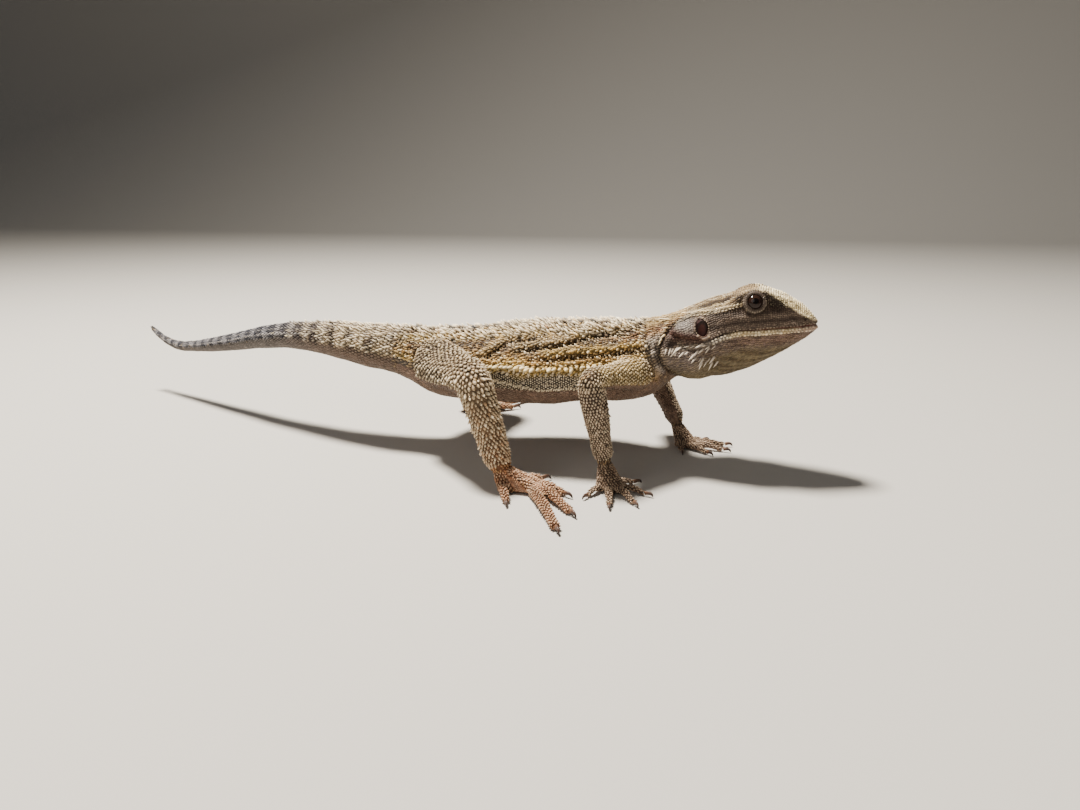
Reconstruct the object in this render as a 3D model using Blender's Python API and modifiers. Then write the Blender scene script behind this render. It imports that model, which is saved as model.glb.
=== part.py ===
"""Central bearded dragon, sub-adult, standing with its head raised and its tail held off the ground.

The animal is modelled whole, from lofted flesh forms that are fused and smoothed, and is then parted
with thin cuts into head, lower jaw, neck, trunk, four lengths of tail and the three segments of each
leg. Eyes, ear drums and claws are solids of their own. Tables are in millimetres for an animal of
TABLE_LENGTH from snout to vent: +X is towards the head, -Y is its right side, +Z is up, floor at 0.
"""

import math

import bmesh
import bpy
import numpy as np
from mathutils import Matrix, Vector

# ---------------------------------------------------------------- driving dimensions
SNOUT_TO_VENT = 0.142   # metres, the size that the whole animal scales with
TABLE_LENGTH = 142.0    # the same length in the units of the tables below
UNIT = SNOUT_TO_VENT / TABLE_LENGTH
GAP = 0.3               # between neighbouring solids
VOXEL = 0.5             # grain at which the flesh forms are fused
SOFTEN = 7              # smoothing passes that blend one form into the next
FLESH_FACES = 4150      # triangles left on the fused flesh
SOLE_DEPTH = 0.18       # flesh that the floor flattens under each pad

# ---------------------------------------------------------------- body stations
# x, y, z of the widest level, half width, height above it, depth below it, squareness above, below
TRUNK = [
    (-10.0, 0.3, 34.8, 8.8, 8.2, 8.0, 2.0, 2.1),
    (0.0, 0.0, 33.6, 10.0, 9.4, 9.4, 2.0, 2.2),
    (10.0, 0.0, 31.6, 12.4, 11.2, 12.1, 2.1, 2.4),
    (25.0, 0.0, 31.2, 16.2, 12.3, 12.8, 2.1, 2.5),
    (40.0, 0.0, 31.6, 19.8, 14.1, 12.7, 2.0, 2.6),
    (55.0, 0.0, 32.0, 21.6, 15.0, 12.6, 2.0, 2.6),
    (68.0, 0.0, 32.6, 20.2, 14.7, 11.2, 2.0, 2.5),
    (80.0, 0.0, 33.6, 16.8, 14.3, 12.2, 2.0, 2.4),
    (88.0, -0.2, 35.8, 13.2, 13.7, 12.2, 2.0, 2.3),
    (95.0, -0.5, 40.0, 11.3, 11.5, 10.5, 2.0, 2.2),
    (104.0, -0.8, 44.0, 10.5, 10.0, 8.0, 2.0, 2.2),
]
HEAD = [
    (94.0, -0.4, 44.5, 10.8, 6.6, 9.5, 2.2, 2.2),
    (98.0, -0.5, 45.2, 12.3, 7.6, 12.5, 2.2, 2.2),
    (103.0, -0.8, 46.0, 13.1, 9.2, 14.8, 2.3, 2.2),
    (110.0, -1.1, 47.0, 13.0, 10.7, 15.6, 2.4, 2.2),
    (116.0, -1.4, 47.6, 11.9, 12.2, 14.2, 2.4, 2.2),
    (120.0, -1.6, 47.8, 11.0, 12.6, 12.6, 2.4, 2.2),
    (125.0, -1.9, 48.0, 9.6, 12.0, 10.0, 2.4, 2.2),
    (130.0, -2.2, 48.3, 8.0, 9.7, 6.9, 2.4, 2.2),
    (134.0, -2.5, 48.7, 6.4, 6.8, 4.7, 2.3, 2.2),
    (137.0, -2.7, 49.1, 4.4, 3.9, 2.8, 2.2, 2.2),
    (138.7, -2.8, 49.3, 2.2, 1.7, 1.5, 2.0, 2.0),
]
# x, y, z, half width, half height
TAIL = [
    (6.0, 0.0, 32.5, 9.0, 9.0),
    (-3.3, 0.0, 34.4, 9.3, 8.7),
    (-13.2, 0.5, 34.9, 8.8, 8.1),
    (-22.6, 2.0, 35.7, 7.9, 7.3),
    (-36.6, 5.0, 36.3, 6.6, 6.2),
    (-52.4, 10.0, 35.6, 5.4, 5.2),
    (-67.2, 15.0, 33.4, 4.7, 4.6),
    (-81.3, 21.0, 30.2, 4.1, 4.0),
    (-96.0, 27.0, 27.2, 3.5, 3.4),
    (-112.0, 34.0, 24.2, 2.8, 2.7),
    (-128.2, 41.0, 22.9, 2.2, 2.2),
    (-137.1, 45.0, 24.7, 1.7, 1.7),
    (-144.5, 48.3, 28.2, 1.3, 1.3),
    (-146.3, 49.2, 29.3, 0.9, 0.9),
]
# Ridges and swellings of one side of the head, as thick lines: x, distance from the midline, z, radius
BROW_RIDGE = [(128.5, 5.2, 56.6, 1.1), (123.0, 7.0, 58.8, 1.3), (117.5, 8.5, 58.9, 1.5), (108.0, 9.4, 53.6, 0.8)]
CHEEK_RIDGE = [(131.0, 5.9, 51.2, 0.9), (122.0, 9.2, 52.0, 1.2), (113.0, 11.3, 51.8, 1.2), (105.5, 11.6, 50.6, 0.6)]
# Centre x, distance from the midline, z, then the three radii
JOWL = (107.5, 8.8, 44.0, 9.0, 5.6, 6.4)
BEARD = (100.8, 0.0, 38.7, 11.3, 14.4, 9.2)
EYE_DOME = (118.6, 5.9, 56.3, 7.0, 4.3, 3.8)

# ---------------------------------------------------------------- eyes, ears and mouth
EYE_SPOT = (119.0, 10.1, 57.1)     # on the skin, with the distance from the midline second
EYE_FACES = (0.16, 0.95, 0.30)     # direction of its gaze
EYE_RADIUS = 3.0
EYE_SINK = 1.85                    # from the skin to the middle of the eyeball
EAR_SPOT = (103.4, 13.2, 48.6)
EAR_RADII = (2.3, 3.1, 1.6)        # along, up and into the head
EAR_DRUM_RADII = (1.7, 2.45, 0.5)
EAR_DRUM_SINK = 0.75
EAR_FACES = (-0.12, 1.0, 0.1)
NOSTRIL_SPOT = (134.4, 5.2, 51.6)
NOSTRIL_RADIUS = 0.6

# ---------------------------------------------------------------- part lines
# x and z of the mouth line, from in front of the snout to the fold behind the jaw
MOUTH_LINE = [(142.0, 49.8), (137.4, 49.3), (126.0, 48.1), (114.6, 47.6), (107.0, 44.6), (98.0, 43.2), (90.2, 43.0)]
NAPE_LINE = [(98.5, 62.0), (93.2, 51.0), (90.2, 43.0), (89.6, 38.5), (91.2, 33.5), (95.5, 29.4), (99.0, 24.0)]

SHOULDER_CUT = ((86.5, 0.0, 39.0), (0.88, 0.0, 0.48), 17.0)    # centre, direction square to it, reach
TAIL_CUTS = (-4.0, -37.0, -74.0, -110.0)

# ---------------------------------------------------------------- legs
# Each joint's place, then the flesh's radius there and at points between the joints
LEGS = {
    "R_front": dict(
        side=-1, joints=[(84.0, -11.5, 32.8), (71.9, -33.0, 34.6), (76.0, -30.5, 10.0)],
        upper=[5.6, 4.9, 3.9, 3.7], lower=[3.8, 4.3, 4.0, 3.4, 3.0],
        root=((81.2, -17.6, 33.0), (0.36, -0.93, 0.0), 10.0), floor=(76.5, -31.0), heading=-45.0, spread=1.0),
    "L_front": dict(
        side=1, joints=[(85.5, 11.5, 32.4), (82.5, 29.5, 29.5), (94.8, 17.5, 10.0)],
        upper=[5.6, 4.9, 3.9, 3.7], lower=[3.8, 4.3, 4.0, 3.4, 3.0],
        root=((84.4, 17.6, 32.0), (0.15, 0.98, 0.0), 8.0), floor=(95.4, 17.0), heading=-18.0, spread=0.8),
    "R_hind": dict(
        side=-1, joints=[(13.5, -8.5, 32.2), (35.8, -36.0, 33.0), (44.8, -40.0, 8.5)],
        upper=[8.2, 7.8, 6.6, 5.4], lower=[5.2, 5.3, 5.0, 4.5, 3.9],
        root=((21.5, -17.8, 32.6), (-0.24, -0.97, 0.0), 16.0), floor=(45.0, -40.0), heading=-22.0, spread=1.0),
    "L_hind": dict(
        side=1, joints=[(12.5, 8.5, 32.2), (20.5, 39.0, 31.5), (5.0, 44.0, 8.5)],
        upper=[8.2, 7.8, 6.6, 5.4], lower=[5.2, 5.3, 5.0, 4.5, 3.9],
        root=((14.0, 16.6, 32.4), (-0.18, 0.98, 0.0), 12.0), floor=(4.8, 44.2), heading=32.0, spread=0.95),
}
# Digits from the inner one out: distance and bearing of the root from the wrist or ankle, bearing and
# length of the digit with its claw, and its radius at the root. Bearings are degrees outwards of the heading.
FINGERS = [(4.0, -62, -76, 8.4, 1.25), (6.3, -25, -24, 10.6, 1.3), (6.8, -2, 10, 13.2, 1.35),
           (6.3, 23, 36, 13.8, 1.35), (4.2, 56, 68, 9.6, 1.25)]
TOES = [(7.0, -58, -64, 11.0, 1.55), (11.2, -36, 4, 14.4, 1.65), (12.0, -24, 28, 24.5, 1.7),
        (11.5, -8, 41, 31.5, 1.8), (3.4, 38, 47, 13.2, 1.55)]
DIGIT_TAPER = 0.8       # radius at the claw over radius at the root
DIGIT_ARCH = 0.7        # how far a digit's middle rises off the floor
FINGER_CLAW = (3.0, 0.62)   # length and radius at the root
TOE_CLAW = (3.5, 0.7)
CLAW_POINT_HEIGHT = 0.3
CLAW_POINT_RADIUS = 0.12

# ---------------------------------------------------------------- colours
SAND = (0.52, 0.40, 0.25, 1.0)
PALE_SAND = (0.66, 0.56, 0.40, 1.0)
BEARD_GREY = (0.30, 0.28, 0.25, 1.0)
RUST = (0.40, 0.20, 0.10, 1.0)
CLAW_BROWN = (0.06, 0.035, 0.025, 1.0)
EYE_DARK = (0.02, 0.012, 0.01, 1.0)
EAR_RED = (0.12, 0.04, 0.035, 1.0)


def clear_scene():
    for thing in list(bpy.data.objects):
        bpy.data.objects.remove(thing, do_unlink=True)


def new_collection(name, hidden=False):
    collection = bpy.data.collections.new(name)
    collection.hide_render = hidden
    bpy.context.scene.collection.children.link(collection)
    return collection


def material(name, colour, roughness):
    made = bpy.data.materials.get(name)
    if made is None:
        made = bpy.data.materials.new(name)
        made.use_nodes = True
        shader = made.node_tree.nodes["Principled BSDF"]
        shader.inputs["Base Color"].default_value = colour
        shader.inputs["Roughness"].default_value = roughness
        shader.inputs["Metallic"].default_value = 0.0
    return made


def add_object(name, mesh, collection, cutter=False):
    """Puts a mesh in the scene as an object; a cutter is drawn as wire and not rendered."""
    made = bpy.data.objects.new(name, mesh)
    collection.objects.link(made)
    if cutter:
        made.hide_render = True
        made.display_type = "WIRE"
    return made


def unit_vector(vectors):
    vectors = np.asarray(vectors, float)
    return vectors / np.linalg.norm(vectors, axis=-1, keepdims=True)


def resample(rows, count):
    """Stations carried to evenly spaced ones, by a cubic through each column over the distance along x, y, z."""
    rows = np.asarray(rows, float)
    at = np.concatenate([[0.0], np.cumsum(np.linalg.norm(np.diff(rows[:, :3], axis=0), axis=1))])
    slope = np.gradient(rows, at, axis=0)
    new = np.linspace(0.0, at[-1], count)
    k = np.clip(np.searchsorted(at, new, side="right") - 1, 0, len(at) - 2)
    span = (at[k + 1] - at[k])[:, None]
    t = (new - at[k])[:, None] / span
    return ((2 * t**3 - 3 * t**2 + 1) * rows[k] + (t**3 - 2 * t**2 + t) * span * slope[k]
            + (3 * t**2 - 2 * t**3) * rows[k + 1] + (t**3 - t**2) * span * slope[k + 1])


def loft_mesh(name, rings):
    """A closed mesh through rings of points, each ring having as many points, with a flat face on each end."""
    count, sides = rings.shape[:2]
    shell = bmesh.new()
    verts = [[shell.verts.new(Vector(point) * UNIT) for point in ring] for ring in rings]
    for below, above in zip(verts, verts[1:]):
        for j in range(sides):
            shell.faces.new((below[j], below[(j + 1) % sides], above[(j + 1) % sides], above[j]))
    shell.faces.new(reversed(verts[0]))
    shell.faces.new(verts[-1])
    bmesh.ops.recalc_face_normals(shell, faces=shell.faces)
    mesh = bpy.data.meshes.new(name)
    shell.to_mesh(mesh)
    shell.free()
    return mesh


def body_rings(rows, sides=40):
    """Upright sections: a superellipse whose upper and lower halves have their own height and squareness."""
    angle = np.linspace(0.0, 2 * math.pi, sides, endpoint=False)
    across, along = np.cos(angle), np.sin(angle)
    x, y, z, width, rise, drop, square_up, square_down = (column[:, None] for column in rows.T)
    power = 2.0 / np.where(along >= 0.0, square_up, square_down)
    reach = np.where(along >= 0.0, rise, drop)
    return np.stack([np.broadcast_to(x, reach.shape), y + width * np.sign(across) * np.abs(across) ** power,
                     z + reach * np.sign(along) * np.abs(along) ** power], axis=2)


def tube_rings(rows, sides=20):
    """Sections square to a path: ellipses whose half width lies level wherever the path does."""
    middle = rows[:, :3]
    heading = unit_vector(np.gradient(middle, axis=0))
    level = np.cross([0.0, 0.0, 1.0], heading)
    steep = np.linalg.norm(level, axis=1) < 0.05
    level[steep] = np.cross([1.0, 0.0, 0.0], heading[steep])
    level = unit_vector(level)
    upright = np.cross(heading, level)
    angle = np.linspace(0.0, 2 * math.pi, sides, endpoint=False)[None, :, None]
    return (middle[:, None] + level[:, None] * rows[:, 3, None, None] * np.cos(angle)
            + upright[:, None] * rows[:, -1, None, None] * np.sin(angle))


def ellipsoid_mesh(name, centre, radii, axes=None, segments=28, rings=18):
    """A stretched sphere; axes are the three directions that its radii lie along."""
    axes = np.eye(3) if axes is None else unit_vector(axes)
    ball = bmesh.new()
    bmesh.ops.create_uvsphere(ball, u_segments=segments, v_segments=rings, radius=1.0)
    for vert in ball.verts:
        place = np.asarray(centre) + (np.asarray(vert.co) * np.asarray(radii)) @ axes
        vert.co = Vector(place) * UNIT
    mesh = bpy.data.meshes.new(name)
    ball.to_mesh(mesh)
    ball.free()
    return mesh


def midline(x):
    """The head's midline, which turns a little to the animal's right towards the snout."""
    rows = np.array(HEAD)
    return float(np.interp(x, rows[:, 0], rows[:, 1]))


def on_side(spot, side):
    """A place on the head from x, the distance from the midline and z."""
    return np.array([spot[0], midline(spot[0]) + side * spot[1], spot[2]])


# ---------------------------------------------------------------- flesh
def limb_segment(start, end, radii):
    """Stations of a leg segment from joint to joint, a little past each so that it fuses with the next."""
    start, end = np.array(start), np.array(end)
    ahead = unit_vector(end - start)
    share = np.linspace(0.0, 1.0, len(radii))
    rows = [(*(start + (end - start) * t), r) for t, r in zip(share, radii)]
    rows.insert(0, (*(start - ahead * radii[0] * 0.55), radii[0] * 0.72))
    rows.append((*(end + ahead * radii[-1] * 0.55), radii[-1] * 0.72))
    return rows


def digit_plan(leg, number, front):
    """Root, end, direction, radii and claw of one digit: the end is where the flesh stops and the claw starts."""
    reach, root_bearing, bearing, length, radius = (FINGERS if front else TOES)[number]
    claw_length, claw_radius = FINGER_CLAW if front else TOE_CLAW
    turn = math.radians(leg["heading"] + leg["side"] * root_bearing * leg["spread"])
    aim = math.radians(leg["heading"] + leg["side"] * bearing * leg["spread"])
    root = np.array([leg["floor"][0] + reach * math.cos(turn), leg["floor"][1] + reach * math.sin(turn), radius])
    ahead = np.array([math.cos(aim), math.sin(aim), 0.0])
    tip_radius = radius * DIGIT_TAPER
    end = root + ahead * (length - claw_length)
    root[2] = radius - SOLE_DEPTH + 0.3
    end[2] = tip_radius - SOLE_DEPTH
    return root, end, ahead, radius, tip_radius, claw_length, claw_radius


def digit_rows(plan):
    """A digit's stations: slim between its joints, fuller at them, arched off the floor in the middle."""
    root, end, ahead, radius, tip_radius = plan[:5]
    share = np.linspace(0.0, 1.0, 7)
    knuckle = 1.0 + 0.07 * np.cos(share * 4 * math.pi)
    middle = root + (end - root) * share[:, None]
    middle[:, 2] += DIGIT_ARCH * np.sin(share * math.pi) ** 2
    thickness = (radius + (tip_radius - radius) * share) * knuckle
    rows = [(*place, r) for place, r in zip(middle, thickness)]
    rows.append((*(end + ahead * 1.1), tip_radius * 0.85))
    return rows


def paw_forms(name, leg, front):
    """The palm or instep, and five digits."""
    plans = [digit_plan(leg, k, front) for k in range(5)]
    wrist = np.array(leg["joints"][2])
    pad = 2.0 if front else 2.3
    forms = []
    for k, plan in enumerate(plans):
        root, radius = plan[0], plan[3]
        start = np.array([leg["floor"][0], leg["floor"][1], wrist[2] * 0.55])
        bone = [(*(wrist * 0.6 + start * 0.4), pad), (*(start * 0.45 + root * 0.55 + [0, 0, 0.4]), pad * 0.95),
                (*root, radius * 1.12), (*(root + plan[2] * 1.2), radius * 0.9)]
        forms.append(loft_mesh(f"{name}_ray_{k + 1}", tube_rings(resample(bone, 9), 12)))
        forms.append(loft_mesh(f"{name}_digit_{k + 1}", tube_rings(resample(digit_rows(plan), 22), 12)))
    sole = [(*leg["floor"], pad * 0.92 - SOLE_DEPTH, pad * 1.5, pad * 0.92)]
    middle = np.mean([plan[0] for plan in plans[1:4]], axis=0)
    for share in (0.45, 0.8):
        spot = np.array([*leg["floor"], 0.0]) * (1 - share) + middle * share
        sole.append((spot[0], spot[1], pad * 0.85 - SOLE_DEPTH, pad * 1.75, pad * 0.85))
    forms.append(loft_mesh(f"{name}_sole", tube_rings(resample(sole, 7), 16)))
    return forms


def flesh_forms():
    """Every lofted form of the animal, overlapping its neighbours."""
    forms = [
        loft_mesh("trunk_form", body_rings(resample(TRUNK, 60))),
        loft_mesh("head_form", body_rings(resample(HEAD, 44))),
        loft_mesh("tail_form", tube_rings(resample(TAIL, 110), 24)),
        ellipsoid_mesh("beard_form", BEARD[:3], BEARD[3:]),
    ]
    for side in (-1, 1):
        for swelling in (JOWL, EYE_DOME):
            forms.append(ellipsoid_mesh("swelling_form", on_side(swelling[:3], side), swelling[3:]))
        for ridge in (BROW_RIDGE, CHEEK_RIDGE):
            rows = [(*on_side(row[:3], side), row[3]) for row in ridge]
            forms.append(loft_mesh("ridge_form", tube_rings(resample(rows, 16), 12)))
    for name, leg in LEGS.items():
        root, bend, wrist = leg["joints"]
        forms.append(loft_mesh(f"{name}_upper", tube_rings(resample(limb_segment(root, bend, leg["upper"]), 24))))
        forms.append(loft_mesh(f"{name}_lower", tube_rings(resample(limb_segment(bend, wrist, leg["lower"]), 26))))
        forms += paw_forms(name, leg, front=name.endswith("front"))
    return forms


def evaluated_mesh(made):
    """The object's mesh with its modifiers applied."""
    bpy.context.view_layer.update()
    graph = bpy.context.evaluated_depsgraph_get()
    return bpy.data.meshes.new_from_object(made.evaluated_get(graph))


def fuse(forms, collection):
    """One closed skin round all the forms, blended where they meet and thinned to FLESH_FACES."""
    joined = bmesh.new()
    for mesh in forms:
        joined.from_mesh(mesh)
        bpy.data.meshes.remove(mesh)
    mesh = bpy.data.meshes.new("flesh")
    joined.to_mesh(mesh)
    joined.free()
    flesh = add_object("flesh", mesh, collection)
    grain = flesh.modifiers.new("fuse", "REMESH")
    grain.mode = "VOXEL"
    grain.voxel_size = VOXEL * UNIT
    soft = flesh.modifiers.new("blend", "SMOOTH")
    soft.factor = 0.5
    soft.iterations = SOFTEN
    flesh.data = evaluated_mesh(flesh)
    flesh.modifiers.clear()
    thin = flesh.modifiers.new("thin", "DECIMATE")
    thin.ratio = FLESH_FACES / (2.0 * len(flesh.data.polygons))
    flesh.data = evaluated_mesh(flesh)
    flesh.modifiers.clear()
    return flesh


# ---------------------------------------------------------------- cuts
def slab(name, centre, normal, reach, collection, thickness=GAP, tall=None):
    """A thin square plate that parts the flesh across a leg or the tail."""
    plate = bmesh.new()
    bmesh.ops.create_cube(plate, size=1.0)
    bmesh.ops.scale(plate, verts=plate.verts, vec=(2 * reach, 2 * (tall or reach), thickness))
    turn = Vector(normal).to_track_quat("Z", "Y").to_matrix()
    bmesh.ops.rotate(plate, verts=plate.verts, matrix=turn)
    bmesh.ops.translate(plate, verts=plate.verts, vec=centre)
    bmesh.ops.scale(plate, verts=plate.verts, vec=(UNIT,) * 3)
    mesh = bpy.data.meshes.new(name)
    plate.to_mesh(mesh)
    plate.free()
    return add_object(name, mesh, collection, cutter=True)


def ribbon(name, line, reach, collection):
    """A thin bent plate across the body, whose edge follows a line in the upright plane."""
    strip = bmesh.new()
    edges = [[strip.verts.new(Vector((x, y, z)) * UNIT) for x, z in line] for y in (-reach, reach)]
    for k in range(len(line) - 1):
        strip.faces.new((edges[0][k], edges[0][k + 1], edges[1][k + 1], edges[1][k]))
    mesh = bpy.data.meshes.new(name)
    strip.to_mesh(mesh)
    strip.free()
    made = add_object(name, mesh, collection, cutter=True)
    wall = made.modifiers.new("thickness", "SOLIDIFY")
    wall.thickness = GAP * UNIT
    wall.offset = 0.0
    wall.use_even_offset = True
    return made


def head_axes(side, faces):
    """Directions for a form set into the side of the head: along it, up it and out of it."""
    out = unit_vector([faces[0], side * faces[1], faces[2]])
    along = unit_vector(np.cross([0.0, 0.0, 1.0], out))
    return np.array([along, np.cross(out, along), out])


def eye_centre(side):
    return on_side(EYE_SPOT, side) - head_axes(side, EYE_FACES)[2] * EYE_SINK


def make_cutters(collection):
    """Everything that is taken off the fused flesh: part lines, sockets, nostrils, toe ends and the floor."""
    ribbon("cut_nape", NAPE_LINE, 30.0, collection)
    ribbon("cut_mouth", MOUTH_LINE, 24.0, collection)
    slab("cut_shoulders", *SHOULDER_CUT, collection)
    for k, x in enumerate(TAIL_CUTS):
        rows = resample(TAIL, 200)
        near = int(np.argmin(np.abs(rows[:, 0] - x)))
        slab(f"cut_tail_{k + 1}", rows[near, :3], rows[near + 1, :3] - rows[near - 1, :3], 12.0 - 2 * k, collection)
    for side, letter in ((-1, "R"), (1, "L")):
        add_object(f"cut_eye_{letter}", ellipsoid_mesh("socket", eye_centre(side), (EYE_RADIUS + GAP,) * 3,
                   segments=14, rings=8), collection, cutter=True)
        add_object(f"cut_ear_{letter}", ellipsoid_mesh("recess", on_side(EAR_SPOT, side), EAR_RADII,
                   head_axes(side, EAR_FACES), segments=12, rings=6), collection, cutter=True)
        add_object(f"cut_nostril_{letter}", ellipsoid_mesh("nostril", on_side(NOSTRIL_SPOT, side),
                   (NOSTRIL_RADIUS,) * 3, segments=8, rings=6), collection, cutter=True)
    for name, leg in LEGS.items():
        shoulder, bend, wrist = (np.array(joint) for joint in leg["joints"])
        centre, normal, reach = leg["root"]
        slab(f"cut_{name}_root", centre, normal, reach, collection, tall=reach)
        across = unit_vector(bend - shoulder) + unit_vector(wrist - bend)
        slab(f"cut_{name}_bend", bend, across, leg["lower"][0] * 2.0, collection)
        slab(f"cut_{name}_wrist", wrist * 0.9 + bend * 0.1, wrist - bend, leg["lower"][-1] * 1.9, collection)
        for k in range(5):
            end, ahead = digit_plan(leg, k, name.endswith("front"))[1:3]
            slab(f"cut_{name}_claw_{k + 1}", end + ahead * 1.25, ahead, 2.1, collection, thickness=2.5)
    slab("cut_floor", (0.0, 0.0, -5.0), (0.0, 0.0, 1.0), 200.0, collection, thickness=10.0)


PLACES = {
    "head": (116, -1, 54), "lower_jaw": (108, -1, 38), "neck": (91.5, 0, 42), "trunk": (48, 0, 33),
    "tail_1": (-20, 2, 35), "tail_2": (-55, 11, 35), "tail_3": (-92, 25, 28), "tail_4": (-128, 41, 23),
}


def part_places():
    """A point inside each part, by which the parted bodies are named."""
    places = {name: np.array(spot, float) for name, spot in PLACES.items()}
    for name, leg in LEGS.items():
        letter, pair = name.split("_")
        upper, lower, paw = ("upper_arm", "forearm", "hand") if pair == "front" else ("thigh", "shank", "foot")
        shoulder, bend, wrist = (np.array(joint) for joint in leg["joints"])
        places[f"{upper}_{letter}"] = shoulder * 0.35 + bend * 0.65
        places[f"{lower}_{letter}"] = (bend + wrist) / 2
        roots = [digit_plan(leg, k, pair == "front") for k in range(5)]
        places[f"{paw}_{letter}"] = np.mean([plan[0] for plan in roots] + [plan[1] for plan in roots], axis=0)
    return places


def islands(mesh):
    """The vertex numbers of each closed body in a mesh."""
    count = len(mesh.vertices)
    ends = np.empty(len(mesh.edges) * 2, np.int32)
    mesh.edges.foreach_get("vertices", ends)
    ends = ends.reshape(-1, 2)
    label = np.arange(count)
    while True:
        lowest = label.copy()
        np.minimum.at(lowest, ends[:, 0], label[ends[:, 1]])
        np.minimum.at(lowest, ends[:, 1], label[ends[:, 0]])
        lowest = lowest[lowest]
        if (lowest == label).all():
            break
        label = lowest
    return [np.flatnonzero(label == value) for value in np.unique(label)]


def part_flesh(flesh, cutters, collection):
    """Takes the cutters off the flesh and gives each body that is left its own object."""
    take = flesh.modifiers.new("part", "BOOLEAN")
    take.operation = "DIFFERENCE"
    take.operand_type = "COLLECTION"
    take.collection = cutters
    take.solver = "EXACT"
    mesh = evaluated_mesh(flesh)
    bpy.data.objects.remove(flesh, do_unlink=True)
    points = np.empty(len(mesh.vertices) * 3, np.float32)
    mesh.vertices.foreach_get("co", points)
    points = points.reshape(-1, 3) / UNIT
    places = part_places()
    bodies = sorted(islands(mesh), key=len, reverse=True)
    for body in bodies:
        middle = (points[body].min(axis=0) + points[body].max(axis=0)) / 2
        if not places or len(body) < 12:
            continue
        name = min(places, key=lambda key: np.linalg.norm(places[key] - middle))
        places.pop(name)
        keep = np.zeros(len(points), bool)
        keep[body] = True
        piece = bmesh.new()
        piece.from_mesh(mesh)
        piece.verts.ensure_lookup_table()
        bmesh.ops.delete(piece, geom=[vert for vert in piece.verts if not keep[vert.index]], context="VERTS")
        part = bpy.data.meshes.new(name)
        piece.to_mesh(part)
        piece.free()
        part.materials.clear()
        part.materials.append(flesh_material(name))
        part.shade_smooth()
        part.set_sharp_from_angle(angle=math.radians(50))
        add_object(name, part, collection)
    bpy.data.meshes.remove(mesh)


def flesh_material(name):
    if name in ("lower_jaw", "neck"):
        return material("beard_skin", BEARD_GREY, 0.7)
    if name.startswith(("foot", "shank")):
        return material("leg_skin", RUST, 0.7)
    if name.startswith(("head", "tail")):
        return material("pale_skin", PALE_SAND, 0.7)
    return material("sand_skin", SAND, 0.7)


# ---------------------------------------------------------------- eyes, ear drums, claws
def finish(name, mesh, collection, look):
    mesh.materials.append(look)
    mesh.shade_smooth()
    add_object(name, mesh, collection)


def make_claw(name, plan, collection):
    """A claw: a round section that shrinks along a bend from the digit's end down to the floor."""
    root, end, ahead, radius, tip_radius, length, claw_radius = plan
    start = end + ahead * GAP
    start[2] = tip_radius + 0.1
    rise = start + ahead * length * 0.55 + np.array([0.0, 0.0, 0.35])
    point = start + ahead * (length - GAP)
    point[2] = CLAW_POINT_HEIGHT
    share = np.linspace(0.0, 1.0, 5)[:, None]
    path = (1 - share) ** 2 * start + 2 * share * (1 - share) * rise + share ** 2 * point
    thickness = claw_radius * (1 - share) ** 0.75 + CLAW_POINT_RADIUS
    finish(name, loft_mesh(name, tube_rings(np.hstack([path, thickness]), 6)), collection,
           material("claw", CLAW_BROWN, 0.35))


def make_small_parts(collection):
    for side, letter in ((-1, "R"), (1, "L")):
        finish(f"eye_{letter}", ellipsoid_mesh("eye", eye_centre(side), (EYE_RADIUS,) * 3,
               head_axes(side, EYE_FACES), segments=14, rings=8), collection, material("eye", EYE_DARK, 0.05))
        axes = head_axes(side, EAR_FACES)
        finish(f"ear_{letter}", ellipsoid_mesh("ear", on_side(EAR_SPOT, side) - axes[2] * EAR_DRUM_SINK,
               EAR_DRUM_RADII, axes, segments=10, rings=6), collection, material("ear_drum", EAR_RED, 0.5))
    for name, leg in LEGS.items():
        letter, pair = name.split("_")
        digit = "finger" if pair == "front" else "toe"
        for k in range(5):
            make_claw(f"claw_{digit}_{letter}_{k + 1}", digit_plan(leg, k, pair == "front"), collection)


def centre_on_floor(collection):
    """Moves the whole animal so that its box is centred over the origin and stands on Z = 0."""
    lows, highs = [], []
    for made in collection.objects:
        points = np.array([vert.co[:] for vert in made.data.vertices])
        lows.append(points.min(axis=0))
        highs.append(points.max(axis=0))
    low, high = np.min(lows, axis=0), np.max(highs, axis=0)
    shift = Vector((-(low[0] + high[0]) / 2, -(low[1] + high[1]) / 2, -low[2]))
    for made in collection.objects:
        made.data.transform(Matrix.Translation(shift))


def main():
    clear_scene()
    animal = new_collection("bearded_dragon")
    cutters = new_collection("cutters", hidden=True)
    flesh = fuse(flesh_forms(), animal)
    make_cutters(cutters)
    part_flesh(flesh, cutters, animal)
    make_small_parts(animal)
    centre_on_floor(animal)


main()
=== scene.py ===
"""Central bearded dragon, sub-adult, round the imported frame: hide, scales, spines, eyes, ear drums and claws.

Shapes are worked out in millimetres from the vent: x runs to the snout, -y is the animal's right, z is up.
"""

import bpy
import numpy as np
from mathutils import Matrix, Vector
from mathutils.bvhtree import BVHTree
from mathutils.kdtree import KDTree


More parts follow.
